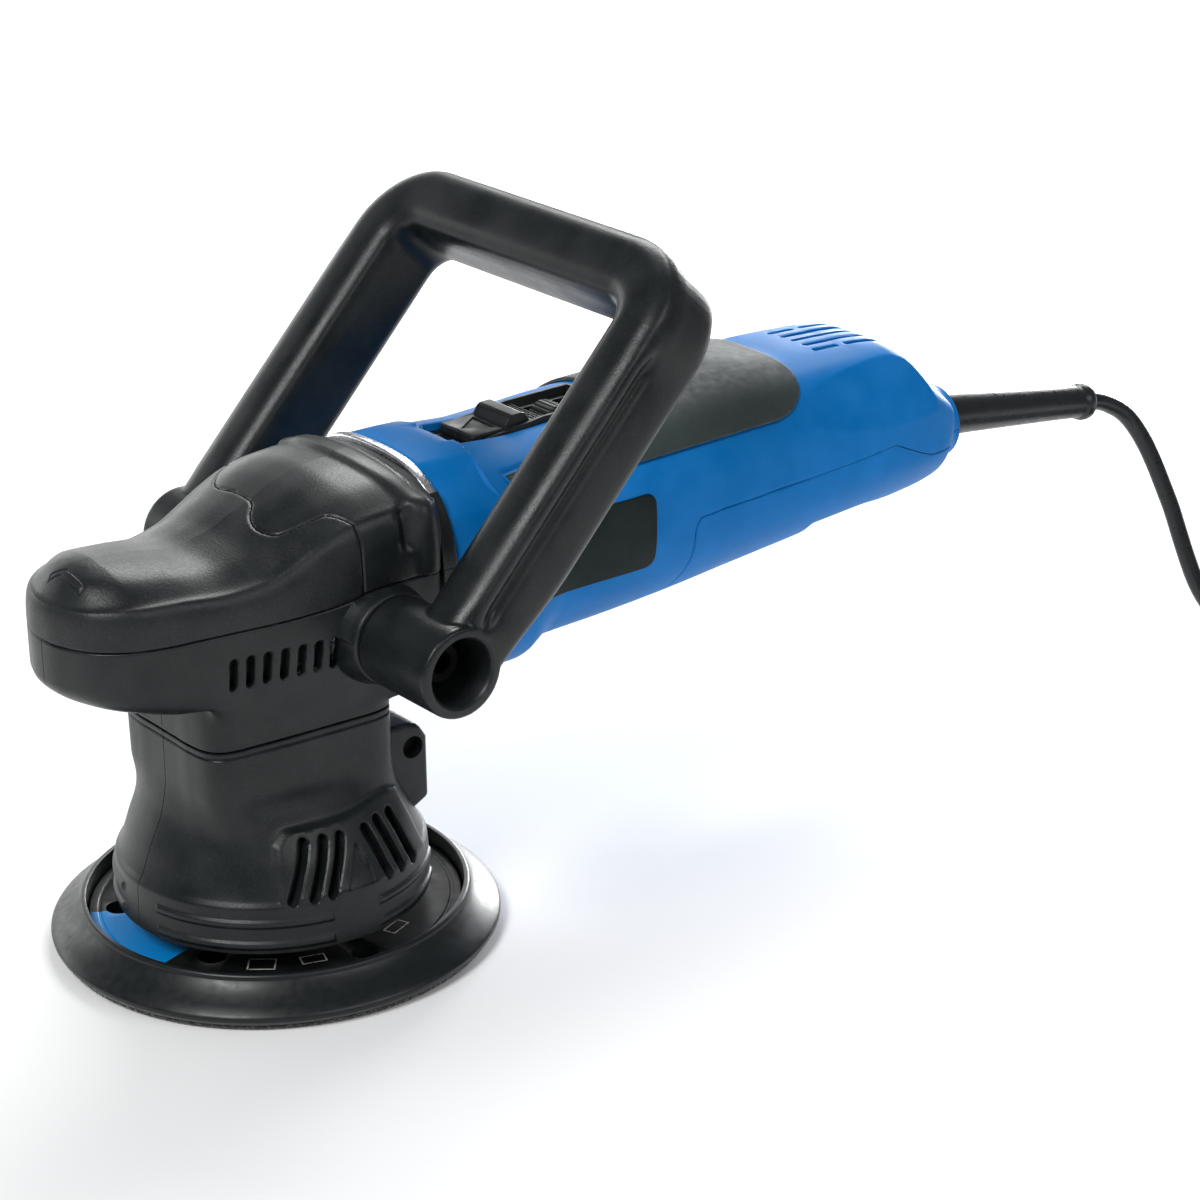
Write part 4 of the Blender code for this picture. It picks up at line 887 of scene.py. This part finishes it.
# --- backing pad
def pad():
    """Foam pad with a raised lip, its printed disc and the hook facing under it."""
    low = PAD_CENTRE
    high = PAD_CENTRE + Vector((0, 0, 1))
    foam = lathe("pad_foam", [(62.9, 15.0), (64.3, 15.0), (64.9, 14.4), (65.1, 13.4), (66.4, 11.9), (68.6, 9.9),
                              (71.4, 7.8), (74.3, 5.9), (75.0, 4.9), (74.8, 3.6), (73.6, 2.0), (12.0, 2.0),
                              (12.0, 5.2), (62.7, 5.2)], low, high, 240)
    rounded(foam, 0.3, 3, 25)
    piece(foam, "pad_foam", "backing_pad", body="pad", angle=30)
    disc = lathe("pad_disc", [(62.0, 5.5), (62.0, 9.6), (61.6, 10.0), (59.4, 10.0), (59.1, 9.7), (58.3, 9.7),
                              (58.0, 10.0), (12.0, 10.0), (12.0, 5.5)], low, high, 180)
    holes = []
    for i, reach in enumerate((56.0, 49.7, 56.0, 49.7, 56.0, 49.7)):
        angle = math.radians(-90 + 60 * i)
        x, y = low.x + (reach - 4) * math.cos(angle), low.y + (reach - 4) * math.sin(angle)
        holes.append(rod(f"disc_hole_{i}", 4.6, (x, y, 0), (x, y, 20), 40))
    cut(disc, "DIFFERENCE", *holes)
    rounded(disc, 0.25, 2)
    piece(disc, "pad_disc", "pad_plate", body="pad")
    facing = lathe("hook_field", [(72.2, 0.0), (72.6, 0.4), (72.6, 1.3), (72.2, 1.7), (2.5, 1.7), (2.5, 0.0)],
                   low, high, 180)
    piece(facing, "hook_fabric", "hook_facing", body="pad")


# --- hood
# Near side, mirrored to the far one: slots (start, end, radius) in x and z, and the plate they are in.
HOOD_SLOTS = [((-13.7, 51.2), (-22.1, 35.4), 1.8), ((-6.9, 50.7), (-15.6, 35.3), 1.8),
              ((-0.7, 50.2), (-9.5, 35.5), 1.8), ((9.2, 49.6), (13.0, 35.4), 1.8),
              ((15.0, 50.4), (19.3, 35.2), 1.8), ((21.1, 50.5), (26.0, 34.7), 1.8)]
HOOD_TRIANGLE = [(3.5, 47.3), (-3.6, 35.4), (7.4, 35.3)]
HOOD_PLATE = [(-25, 33.4), (-24, 46), (-22.5, 51.5), (-18, 55.2), (5, 54.3), (22.8, 57), (28, 55.5),
              (31, 46), (35, 33.4)]
# Raised bars round the foot: centre and half length of each in degrees, and the rows' heights.
HOOD_BARS = ((135, 34), (60, 22))
HOOD_BAR_ROWS = (28.3, 20.9)


def hood():
    """Skirt over the pad, with its slotted plates, raised bars and screw lug."""
    form = hood_form("hood", 0.0, 12, 83)

    def slots(p):
        return to_slots(xz(p), HOOD_SLOTS)

    def triangle(p):
        return to_region(xz(p), HOOD_TRIANGLE)

    def sides(p):
        return np.abs(p[:, 1]) > 18

    def plate(p):
        d = to_region(xz(p), HOOD_PLATE)
        return 1.5 * (1 - step(d, -1.6, 0.9)) * step(p[:, 2], 33.0, 34.6) * sides(p)

    def bars(p):
        turn = np.degrees(np.abs(np.arctan2(p[:, 1], p[:, 0])))
        height = 0
        for centre, half in HOOD_BARS:
            for z in HOOD_BAR_ROWS:
                d = np.maximum((np.abs(turn - centre) - half) * 0.9, np.abs(p[:, 2] - z) - 1.5)
                height = height + 0.9 * (1 - step(d, -1.0, 0.35))
        return height

    def openings(p):
        return (rim(slots(p), 0.6) + groove(triangle(p), 0.4, 1.0)) * sides(p)

    def joint(p):
        return rim(NECK_Z - GAP / 2 - p[:, 2], 0.6) + groove(np.abs(p[:, 2] - 81.6), 0.6, 0.6)

    def near(p):
        turn = np.degrees(np.abs(np.arctan2(p[:, 1], p[:, 0])))
        bar = np.zeros(len(p), bool)
        for centre, half in HOOD_BARS:
            bar |= np.abs(turn - centre) < half + 1.5
        rows = np.min([np.abs(p[:, 2] - z) for z in HOOD_BAR_ROWS], axis=0) < 2.4
        return bar & rows | (np.abs(p[:, 2] - 82.4) < 1.6)

    refine(form, near, 2)
    refine(form, lambda p: ((np.abs(slots(p)) < 1.2) | (np.abs(triangle(p)) < 0.9)) & sides(p), 3)
    relief(form, plate, bars, openings)
    relief(form, joint, across=2)
    lug = rounded(prisms("lug", [[(26, 44), (38, 40), (46, 44), (46, 66), (43, 71), (38, 72.5), (26, 72.5)]],
                         "y", -26.0, 26.0), 1.6, 3)
    cut(form, "UNION", lug)
    cut(form, "DIFFERENCE", hood_form("hood_hollow", WALL, 2, 10),
        *slot_cutters(HOOD_SLOTS, "y", (-80, -20), (20, 80)),
        rod("screw_bore", 2.3, (40, -40, 63.5), (40, 40, 63.5), 32),
        rod("screw_recess", 3.9, (40, -40, 63.5), (40, -18.7, 63.5), 40))
    halves(form, ("hood_skin_left", "hood_left"), ("hood_skin_right", "hood_right"))


# --- gear head
HANDLE_PIVOT = (21.0, 114.0)
HEAD_VENTS = [((-31.9 + 5.75 * i + 1.5, 107.2), (-31.9 + 5.75 * i + 1.5, 115.3), 1.55) for i in range(7)]
PALM_ARROW = [(-71.4, 3.9), (-68.4, -0.5), (-68.4, -11.2), (-70.7, -11.2), (-70.7, -0.1), (-73.0, 3.0)]
S_CURVE = spline(S_SEAM, 8)
SEAM_CURVE = np.stack([np.linspace(-90, 60, 151), smooth(HEAD_SEAM, np.linspace(-90, 60, 151))], -1)


def over_seam(p):
    """Height of each point over the seam between the head's covers and its shells."""
    return p[:, 2] - smooth(HEAD_SEAM, p[:, 0])


def before_end(p):
    """1, falling to 0 just before the head's rear end, where rims would fold its flat face."""
    return 1 - step(p[:, 0], 43.6, 44.8)


def offset_path(points, distance):
    """Open path moved sideways by a distance."""
    p = np.array(points, float)
    along = np.gradient(p, axis=0)
    along /= np.linalg.norm(along, axis=1, keepdims=True)
    return p + np.stack([along[:, 1], -along[:, 0]], -1) * distance


def head_shells():
    """Lower shells of the gear head, with their cooling slots and the handle's bosses."""
    form = head_lower("head_lower", 0.0, 12, 76)
    px, pz = HANDLE_PIVOT

    def vents(p):
        return to_slots(xz(p), HEAD_VENTS)

    def edges(p):
        return (rim(-over_seam(p) - GAP / 2, 0.6) * (p[:, 2] < 133) * before_end(p)
                + rim(vents(p), 0.6) * (np.abs(p[:, 1]) > 20))

    def near(p):
        return (np.abs(over_seam(p) + GAP / 2) < 1.2) | (p[:, 2] < NECK_Z + 1.2)

    refine(form, near, 2)
    refine(form, lambda p: (np.abs(vents(p)) < 1.2) & (np.abs(p[:, 1]) > 20), 3)
    relief(form, edges)
    relief(form, lambda p: rim(p[:, 2] - NECK_Z - GAP / 2, 0.7), across=2)
    cut(form, "UNION", flange_ears([(60, 98), (60, 132), (36, 132), (36, 98)]))
    for side in (-1, 1):
        cut(form, "UNION", lathe("boss", [(0, 0), (17.6, 0), (17.2, 3), (16.2, 6.2), (15.5, 8.2), (15.5, 9.6),
                                          (15.1, 10.15), (14.7, 10.3), (0, 10.3)],
                                 (px, side * 36.0, pz), (px, side * 50, pz), 96))
    cut(form, "DIFFERENCE", head_lower("lower_hollow", WALL, 2, 20),
        prisms("above_seam", [[(x, z - GAP / 2 + LAP) for x, z in SEAM_CURVE] + [(60, 200), (-90, 200)]],
               "y", -70, 70),
        rod("boss_bore", 4.4, (px, -60, pz), (px, 60, pz), 40),
        *slot_cutters(HEAD_VENTS, "y", (-60, -20), (20, 60)))
    halves(form, ("head_skin_left", "head_shell_left"), ("head_skin_right", "head_shell_right"))


def head_covers():
    """Soft palm cover and the gearbox cover behind its S-shaped seam."""
    form = head_upper("head_upper", 0.0, 12, 10)

    def seams(p):
        return np.minimum(to_line(p[:, :2], S_CURVE), np.abs(over_seam(p) - GAP / 2))

    refine(form, lambda p: (seams(p) < 1.3) & (p[:, 2] > 119), 2)
    hollow = head_upper("upper_hollow", WALL, 2, 2)
    above = prisms("above", [[(x, z + GAP / 2 - LAP) for x, z in SEAM_CURVE] + [(60, 180), (-90, 180)]], "y", -70, 70)
    palm, cover = copy(form, "palm_skin"), copy(form, "gear_cover")
    bpy.data.objects.remove(form)

    def side_seam(p):
        return rim(over_seam(p) - GAP / 2, 0.7) * before_end(p)

    def on_top(p):
        return p[:, 2] > 138

    def arrow(p):
        d = np.abs(to_line(p[:, :2], PALM_ARROW, closed=True))
        return groove(d, 0.45, 0.35) * on_top(p)

    refine(palm, lambda p: (to_line(p[:, :2], PALM_ARROW, closed=True) < 0.9) & on_top(p), 2)
    relief(palm, arrow, side_seam, lambda p: rim(to_line(p[:, :2], S_CURVE) - GAP / 2, 0.9) * (p[:, 0] < 17))
    front = [tuple(p) for p in offset_path(S_CURVE, LAP - GAP / 2)]
    cut(palm, "DIFFERENCE", hollow, keep=[hollow])
    cut(palm, "INTERSECT", above, prisms("front", [front + [(-95, 60), (-95, -60)]], "z", 90, 190), keep=[above])
    piece(palm, "soft_cover", "palm_cover", angle=50)

    def hoop(p):
        """Raised band in front of the flange, behind an arched crease."""
        crease = 28.6 + 0.0028 * p[:, 1] ** 2
        return step(p[:, 0] - crease, 0, 3.2) * (1 - step(p[:, 0], 36.5, 42.5)) * step(p[:, 2], 140, 150)

    def shoulder(p):
        """Flared ear in front of the flange's side, with a scoop before it."""
        rise = 1.9 * step(p[:, 0], 33.5, 39) * step(p[:, 2], 126, 131) * (1 - step(p[:, 2], 151, 157))
        rise = rise * (1 - step(p[:, 0], 40, 44))
        scoop = to_line(xz(p), [(31.4, 141.5), (31.6, 151.5)])
        return rise * (np.abs(p[:, 1]) > 20) - 2.2 * (1 - step(scoop, 0.4, 3.4)) * (np.abs(p[:, 1]) > 24)

    relief(cover, hoop, shoulder, side_seam, lambda p: rim(to_line(p[:, :2], S_CURVE) - GAP / 2, 0.6))
    rear = [tuple(p) for p in offset_path(S_CURVE, GAP / 2 - LAP)]
    cut(cover, "UNION", flange_ears([(60, 120), (60, 152.4), (34.5, 154.6), (31, 152), (31, 120)]))
    cut(cover, "DIFFERENCE", hollow)
    cut(cover, "INTERSECT", above, prisms("rear", [rear + [(80, 60), (80, -60)]], "z", 90, 190))
    piece(cover, "black_housing", "gearbox_cover")


def flange_ears(outline):
    """The head's sides, drawn back over the flange's edges inside a (y, z) outline and its mirror image."""
    ears = solid("ears", body_rings(1.4, 43.5, 49.0, 0.3, 240))
    relief(ears, lambda p: rim(49.0 - p[:, 0], 0.7), across=0)
    cut(ears, "DIFFERENCE", solid("ears_inner", body_rings(0.85, 44.4, 60.0, 3.0, 120)))
    return cut(ears, "INTERSECT", prisms("ear_sides", [[(-y, z) for y, z in outline], outline], "x", 30, 60))


def flange():
    """Cast plate between head and motor, with rounded edges and the front bearing's seat."""
    rings = [body_rings(grow, x, x + 0.01, 0.01, 240)[0]
             for x, grow in ((45.3, -0.1), (45.45, 0.3), (45.8, 0.55), (46.2, 0.65), (48.1, 0.65),
                             (48.5, 0.55), (48.85, 0.3), (49.0, -0.1))]
    plate = solid("flange_plate", rings)
    cut(plate, "UNION", rod("flange_hub", 16.5, (48, 0, MOTOR_Z), (58, 0, MOTOR_Z), 96))
    cut(plate, "DIFFERENCE", rod("seat", 13.3, (50, 0, MOTOR_Z), (70, 0, MOTOR_Z), 80),
        rod("bore", 7.0, (30, 0, MOTOR_Z), (60, 0, MOTOR_Z), 64))
    piece(plate, "cast_aluminium", "bearing_flange")


def slot_shade_sheets():
    """Near-black sheets behind the cooling slots of the head and the hood: painted shade for the dark inside of the
    slots.
    """
    for name, form, front, rear, reach, low, high in (("head_baffles", head_lower, -33.5, 5.5, 60, 102, 120),
                                                      ("hood_baffles", hood_form, -30, 32, 70, 31.5, 54)):
        painted_slot_shade = form(name, 4.4, 2, 20)
        cut(painted_slot_shade, "DIFFERENCE", form("baffle_back", 5.4, 2, 20))
        cut(painted_slot_shade, "INTERSECT", prisms("both", [[(front, a), (rear, a), (rear, b), (front, b)]
                                                for a, b in ((-reach, -15), (15, reach))], "z", low, high))
        # The sheets are painted shade, seen through the slots.
        piece(painted_slot_shade, "inner_plastic", material="painted_slot_shade")


# --- motor housing
BODY_HALF_WIDTH = [(45, 41.0), (62, 42.0), (80, 41.5), (97, 39.7), (120, 39.5), (150, 38.5), (180, 37.3),
                   (215, 36.0), (245, 34.0), (262, 31.6), (274, 29.4), (283, 27.2), (289, 23.0),
                   (292.5, 19.0)]
BODY_TOP = [(45, 160.6), (62, 160.2), (97, 158.0), (150, 159.0), (180, 160.0), (215, 160.0), (242, 159.0),
            (254, 156.6), (262, 152.6), (269, 146.2), (276, 138.4), (284, 131.5), (292.5, 127.5)]
BODY_BOTTOM = [(45, 81.0), (62, 76.8), (86, 75.2), (98, 81.2), (120, 81.8), (150, 83.2), (180, 85.5),
               (215, 88.2), (245, 90.4), (262, 91.2), (274, 91.8), (283, 93.0), (289, 94.4), (292.5, 95.5)]
NECK_END = 300.5
SIDE_SEAM = spline([(146.5, 60), (148.3, 88), (151.0, 100), (151.9, 108), (151.7, 115), (153.3, 118.4),
                    (157.5, 119.6), (190, 120.3), (233, 121.2), (247, 121.9), (250, 121.4), (258, 117.6),
                    (266, 114.0), (273, 111.5), (284, 111), (320, 111)], 8)
LABEL_WINDOW = [(x + 106.7, z + 120.5) for x, z in rounded_box(26.7, 13.5, 4.0)]
GRIP_SIDE = ([(81, 144.6), (188, 144.6)]
             + [tuple(p) for p in spline([(192, 144.7), (198, 146.2), (203.4, 149.8), (206.6, 154.0),
                                          (208.2, 158.0), (209.0, 162.0)], 5)]
             + [(209.5, 175), (141, 175), (139.6, 158), (136, 151.5), (77, 151)])
TOP_VENTS = [((228 + 1.2, y), (262 - 1.2, y), 1.1) for y in (-6.0, 0.0, 6.0)]
TOP_VENTS += [((a, y), (b, y), 1.1) for a, b in ((228.6, 238.4), (243.4, 257.6)) for y in (-12.0, 12.0)]


def body_rings(grow, start, end, spacing=0.9, count=240):
    """Sections of the motor housing: flattened on top, rounder below, closing to the cord's neck."""
    x = np.linspace(start, end, max(2, round((end - start) / spacing) + 1))[:, None]
    boxy = step(x, 180, 215) * (1 - step(x, 262, 290))
    half = smooth(BODY_HALF_WIDTH, x) + grow
    top = smooth(BODY_TOP, x) + grow - 2.6 * step(x, 180, 215) * (1 - step(x, 240, 268))
    bottom = smooth(BODY_BOTTOM, x) - grow
    angle = 2 * math.pi * (np.arange(count) + 0.5) / count
    c, s = np.cos(angle), np.sin(angle)
    power = np.where(s > 0, 2 / (2.7 + 0.7 * boxy), 2 / 2.15)
    y = np.sign(c) * np.abs(c) ** power * half
    z = MOTOR_Z + np.sign(s) * np.abs(s) ** power * np.where(s > 0, top - MOTOR_Z, MOTOR_Z - bottom)
    round_share = step(x, 284, 293)
    radius = 13.8 + grow + 5.5 * (1 - step(x, 285, 300))
    y = y * (1 - round_share) + radius * c * round_share
    z = z * (1 - round_share) + (111.0 + radius * s) * round_share
    return np.stack([np.broadcast_to(x, y.shape), y, z], -1)


def collar_edge(z):
    """Where the thick front collar of the housing ends, at a height."""
    return smooth([(76, 90), (110, 82), (130, 76), (146.6, 71.6), (152.7, 69.6), (157.5, 70.4), (161, 72)], z)


def body_relief(p, inset=0.0):
    """Collar, facets, slider ramp and bottom step of the housing, or of a form inset from it."""
    x, y, z = np.abs(p[:, 0]), np.abs(p[:, 1]), p[:, 2]
    past = x - collar_edge(z)
    height = -1.1 * step(past, 0, 0.9) * (1 - step(past, 14, 60)) * step(z, 84, 96)
    chamfer = y * 0.616 + (z - MOTOR_Z) * 0.788 - 41.7 + inset
    height = height - np.maximum(chamfer, 0) * (1 - step(past, -0.5, 0.8)) * (z > MOTOR_Z)
    ramp = step(x, 64.5, 78) * (1 - step(y, 8.8, 10.4)) * (1 - step(x, 138, 140))
    height = height - 2.6 * ramp * (z > OPEN_ABOVE)
    offset = np.interp(x, [200, 213, 260, 275], [40.5, 38.8, 32.4, 29.5])
    facet = y * 0.92 + (z - MOTOR_Z) * 0.39 - offset + inset
    height = height - np.maximum(facet, 0) * step(x, 203, 209) * (1 - step(x, 268, 280)) * (z > 124)
    under = step(x, 213, 216) * (1 - step(x, 236, 262)) * (1 - step(z, 94, 101))
    return height - 1.5 * under


SWITCH_OPENING = ((104.7, 31.0), (0.0, 11.3))       # centre and half size along X, then along Y
OPEN_ABOVE = 140.0      # the openings, their rims and the grip are only on the housing's top


def opening_distance(p):
    """Signed distance to the edge of the switch's opening, seen from above."""
    (x, half_x), (y, half_y) = SWITCH_OPENING
    return np.maximum(np.abs(p[:, 0] - x) - half_x, np.abs(p[:, 1] - y) - half_y)


def housing():
    """Blue barrel and its lower rear cover, cut from one form along the side seam."""
    form = solid("body", np.concatenate([body_rings(0.0, 49.3, NECK_END - 0.6),
                                         body_rings(-0.4, NECK_END - 0.2, NECK_END, 0.2)]))

    def top_vents(p):
        return to_slots(p[:, :2], TOP_VENTS)

    def seam(p):
        return to_line(xz(p), SIDE_SEAM)

    def grip(p):
        return to_region(xz(p), GRIP_SIDE)

    def near(p):
        past = np.abs(p[:, 0] - collar_edge(p[:, 2]) - 0.4)
        top = p[:, 2] > OPEN_ABOVE
        return ((seam(p) < 1.1) | (past < 1.0) & (p[:, 2] > 84) | (np.abs(grip(p) - 0.4) < 0.9) & top
                | (np.abs(opening_distance(p)) < 1.1) & top)

    def edges(p):
        top = p[:, 2] > OPEN_ABOVE
        channel = groove(np.abs(grip(p) - 0.45), 0.8, 0.6) * top
        return (rim(np.maximum(seam(p) - GAP / 2, 0), 0.45) * (p[:, 0] < 297) + rim(top_vents(p), 0.4) * top
                + rim(opening_distance(p), 0.6) * top + channel)

    refine(form, near, 2)
    refine(form, lambda p: (np.abs(top_vents(p)) < 1.3) & (p[:, 2] > OPEN_ABOVE), 3)
    relief(form, body_relief)
    relief(form, edges)
    relief(form, lambda p: rim(p[:, 0] - 49.3, 0.6), across=0)
    hollow = relief(solid("hollow", body_rings(-WALL, 44, 291, 3, 96)), lambda p: body_relief(p, WALL))
    axis = (RELIEF_END - RELIEF_START).normalized()
    bore = rod("relief_bore", 8.4, RELIEF_START - axis * 20, RELIEF_START + axis * 20, 64)
    cover = copy(form, "rear_cover")
    form.name = "body_shell"
    above, below = ([tuple(p) for p in offset_path(SIDE_SEAM, side * (GAP / 2 - LAP))] for side in (-1, 1))
    cut(form, "DIFFERENCE", prisms("rear_cut", [above + [(320, 60)]], "y", -60, 60),
        box("switch_opening", (73.7, -11.3, 140), (135.7, 11.3, 170)),
        *slot_cutters(TOP_VENTS, "z", (135, 170)), hollow, bore, keep=[hollow, bore])
    cut(cover, "INTERSECT", prisms("rear_keep", [below + [(320, 60)]], "y", -60, 60))
    cut(cover, "DIFFERENCE", hollow, bore)
    piece(form, "blue_housing", "motor_housing")
    piece(cover, "blue_housing", "rear_lower_cover")


def overmould():
    """Rubber saddle with a rounded rim, and the two label plates."""
    form = solid("grip_skin", body_rings(1.3, 70, 215, 0.9))
    edge = near_zero(lambda p: to_region(xz(p), GRIP_SIDE), 1.6)
    refine(form, lambda p: edge(p) & (p[:, 2] > OPEN_ABOVE), 2)
    relief(form, lambda p: body_relief(p, -1.3),
           lambda p: rim(-to_region(xz(p), GRIP_SIDE), 1.0) * (p[:, 2] > OPEN_ABOVE))
    inner = solid("grip_inner", body_rings(GAP, 60, 240, 3, 120))
    relief(inner, lambda p: body_relief(p, -GAP))
    cut(form, "INTERSECT", prisms("grip_region", [GRIP_SIDE], "y", -60, 60))
    cut(form, "DIFFERENCE", inner)
    piece(form, "rubber_grip", "grip_overmould")
    for name, low, high in (("left", -60, -10), ("right", 10, 60)):
        film = solid(f"label_{name}", body_rings(0.75, 76, 138, 0.9))
        refine(film, near_zero(lambda p: to_region(xz(p), LABEL_WINDOW), 1.0), 2)
        relief(film, lambda p: body_relief(p, -0.75),
               lambda p: rim(-to_region(xz(p), LABEL_WINDOW), 0.45))
        back = solid("label_back", body_rings(0.1, 70, 150, 3, 120))
        relief(back, lambda p: body_relief(p, -0.1))
        cut(film, "INTERSECT", prisms("window", [LABEL_WINDOW], "y", low, high))
        cut(film, "DIFFERENCE", back)
        piece(film, "label", f"label_plate_{name}")


# --- switch
def switch():
    """Tray, slider with its arrow and thumb ridge, and the ribbed speed dial."""
    tray = box("switch_tray", (74.0, -11.0, 152.9), (135.4, 11.0, 159.4), 0.8)
    rails = prisms("rail_sweep", [[(70, 166), (70, 154.3), (80, 154.6), (85, 156.6), (96, 157.8), (108, 159.0),
                                   (140, 159.2), (140, 166)]], "y", -15, 15)
    cut(tray, "DIFFERENCE", box("tray_pocket", (75.2, -9.8, 154.0), (134.2, 9.8, 170), 0.5), rails,
        box("dial_window", (110.6, -5.6, 150), (127.4, 5.6, 170)),
        box("peg_slot", (122.6, 6.4, 150), (132.2, 9.3, 170)))
    piece(rounded(tray, 0.3, 2), "switch_plastic", "switch_bezel")
    slider = box("slider", (80.2, -9.3, 154.4), (109.8, 9.3, 157.8), 0.6)
    ridge = rounded(prisms("ridge", [[(93.2, 155.5), (93.8, 158.6), (95.2, 160.8), (96.6, 161.6), (100.6, 161.6),
                                      (102.2, 160.8), (103.6, 158.8), (104.6, 155.5)]], "y", -9.0, 9.0), 0.3, 3, 20)
    ribs = [box(f"rib_{i}", (106.0 + 1.3 * i, -8.6, 157.4), (106.5 + 1.3 * i, 8.6, 158.2), 0.15) for i in range(3)]
    cut(slider, "UNION", ridge, *ribs, box("tongue", (105.0, 6.8, 154.5), (131.6, 8.9, 156.2), 0.3),
        box("peg", (128.6, 6.9, 148.2), (131.4, 8.8, 155.0), 0.3))
    cut(slider, "DIFFERENCE", prisms("arrow", [[(82.0, 0), (92.2, -7.0), (92.2, 7.0)]], "z", 157.1, 165))
    piece(rounded(slider, 0.2, 2), "switch_plastic", "switch_slider", body="switch")
    dial = lathe("dial", [(0, -5.0), (6.0, -5.0), (6.9, -4.4), (7.0, -3.9),
                          (7.0, 3.9), (6.9, 4.4), (6.0, 5.0), (0, 5.0)],
                 (119, 0, 151.6), (119, 10, 151.6), 96)
    notches = []
    for i in range(24):
        angle = 2 * math.pi * i / 24
        x, z = 119 + 7.25 * math.cos(angle), 151.6 + 7.25 * math.sin(angle)
        notches.append([(x + 0.62 * math.cos(a), z + 0.62 * math.sin(a))
                        for a in np.linspace(0, 2 * math.pi, 12, endpoint=False)])
    cut(dial, "DIFFERENCE", prisms("notches", notches, "y", -6, 6))
    piece(dial, "switch_plastic", "speed_dial", body="dial", angle=30)


# --- handle
LEAN = math.radians(46.5)
# Outer half of the arm's section: across the arm, and off the handle's plane. The dip is the finger groove.
ARM_GROOVED = [(0, 11.5), (5.4, 11.0), (9.3, 8.9), (10.4, 6.4), (9.6, 4.2), (7.6, 2.4), (7.5, 0.2), (9.6, -2.4),
               (10.9, -11), (9.9, -15.5), (6.3, -18.4), (0, -19.0)]
ARM_PLAIN = [(0, 11.5), (5.4, 11.0), (9.2, 8.6), (10.4, 5.5), (10.7, 3.6), (10.8, 2.5), (10.9, 1.2), (10.9, -1.5),
             (10.9, -11), (9.9, -15.5), (6.3, -18.4), (0, -19.0)]


def handle_point(across, along, lift=0.0):
    """Point of the handle: y, distance from the pivot along the lean, and height off its plane."""
    c, s = math.cos(LEAN), math.sin(LEAN)
    return Vector((HANDLE_PIVOT[0] + c * along - s * lift, across, HANDLE_PIVOT[1] + s * along + c * lift))


def handle():
    """D-handle: the arm's section swept along its path, with the two bosses melted on."""
    half, reach, corner = 71.0, 138.6, 19.0
    path = [(-half, u) for u in np.arange(0, reach - corner, 2.0)]
    for s in range(17):
        angle = math.pi / 2 * s / 16
        path.append((-half + corner - corner * math.cos(angle), reach - corner + corner * math.sin(angle)))
    path += [(y, reach) for y in np.arange(-half + corner + 2, 0.5, 2.0)]
    path = np.array(path + [(-y, u) for y, u in reversed(path) if y < -0.5])
    along = np.gradient(path, axis=0)
    along /= np.linalg.norm(along, axis=1, keepdims=True)
    grooved, plain = np.array(ARM_GROOVED), np.array(ARM_PLAIN)
    rings = []
    for (y, u), (ty, tu) in zip(path, along):
        share = step(u, 12, 22) * (1 - step(u, 108, 120))
        outer = plain + (grooved - plain) * share
        section = spline(np.concatenate([outer, (plain * (-1, 1))[-2:0:-1]]), 4, closed=True)
        wide = 1 + (24 / 21.8 - 1) * abs(ty)
        depth = 1 - 0.21 * (1 - step(u, 4, 46))
        rings.append([handle_point(y - tu * a * wide, u + ty * a * wide, n * (depth if n < 0 else 1))
                      for a, n in section])
    skin = solid("handle_skin", rings)
    bosses = [lathe("boss", [(0, 0), (14.0, 0), (14.7, 0.3), (15, 1), (15, 34), (14.7, 34.7), (14, 35), (0, 35)],
                    handle_point(side * 47, 0), handle_point(side * 82, 0), 96) for side in (-1, 1)]
    skin = melted(joined("handle_skin", skin, *bosses), 0.6, 7)
    for side in (-1, 1):
        cut(skin, "DIFFERENCE",
            lathe("recess", [(0, 0), (11.0, 0), (11.0, 20.6), (11.5, 21.5), (12.5, 22.4), (12.5, 30), (0, 30)],
                  handle_point(side * 60, 0), handle_point(side * 90, 0), 96),
            rod("bolt_hole", 4.6, handle_point(side * 40, 0), handle_point(side * 90, 0), 48))
    piece(skin, "handle_plastic", "d_handle", body="handle", angle=35)


camera()
lead, lead_length = cord()
strain_relief()
strap = tie()
plug_pieces = plug()
pad()
hood()
head_shells()
head_covers()
flange()
slot_shade_sheets()
housing()
overmould()
switch()
handle()
dress_frame_nodes()
studio()
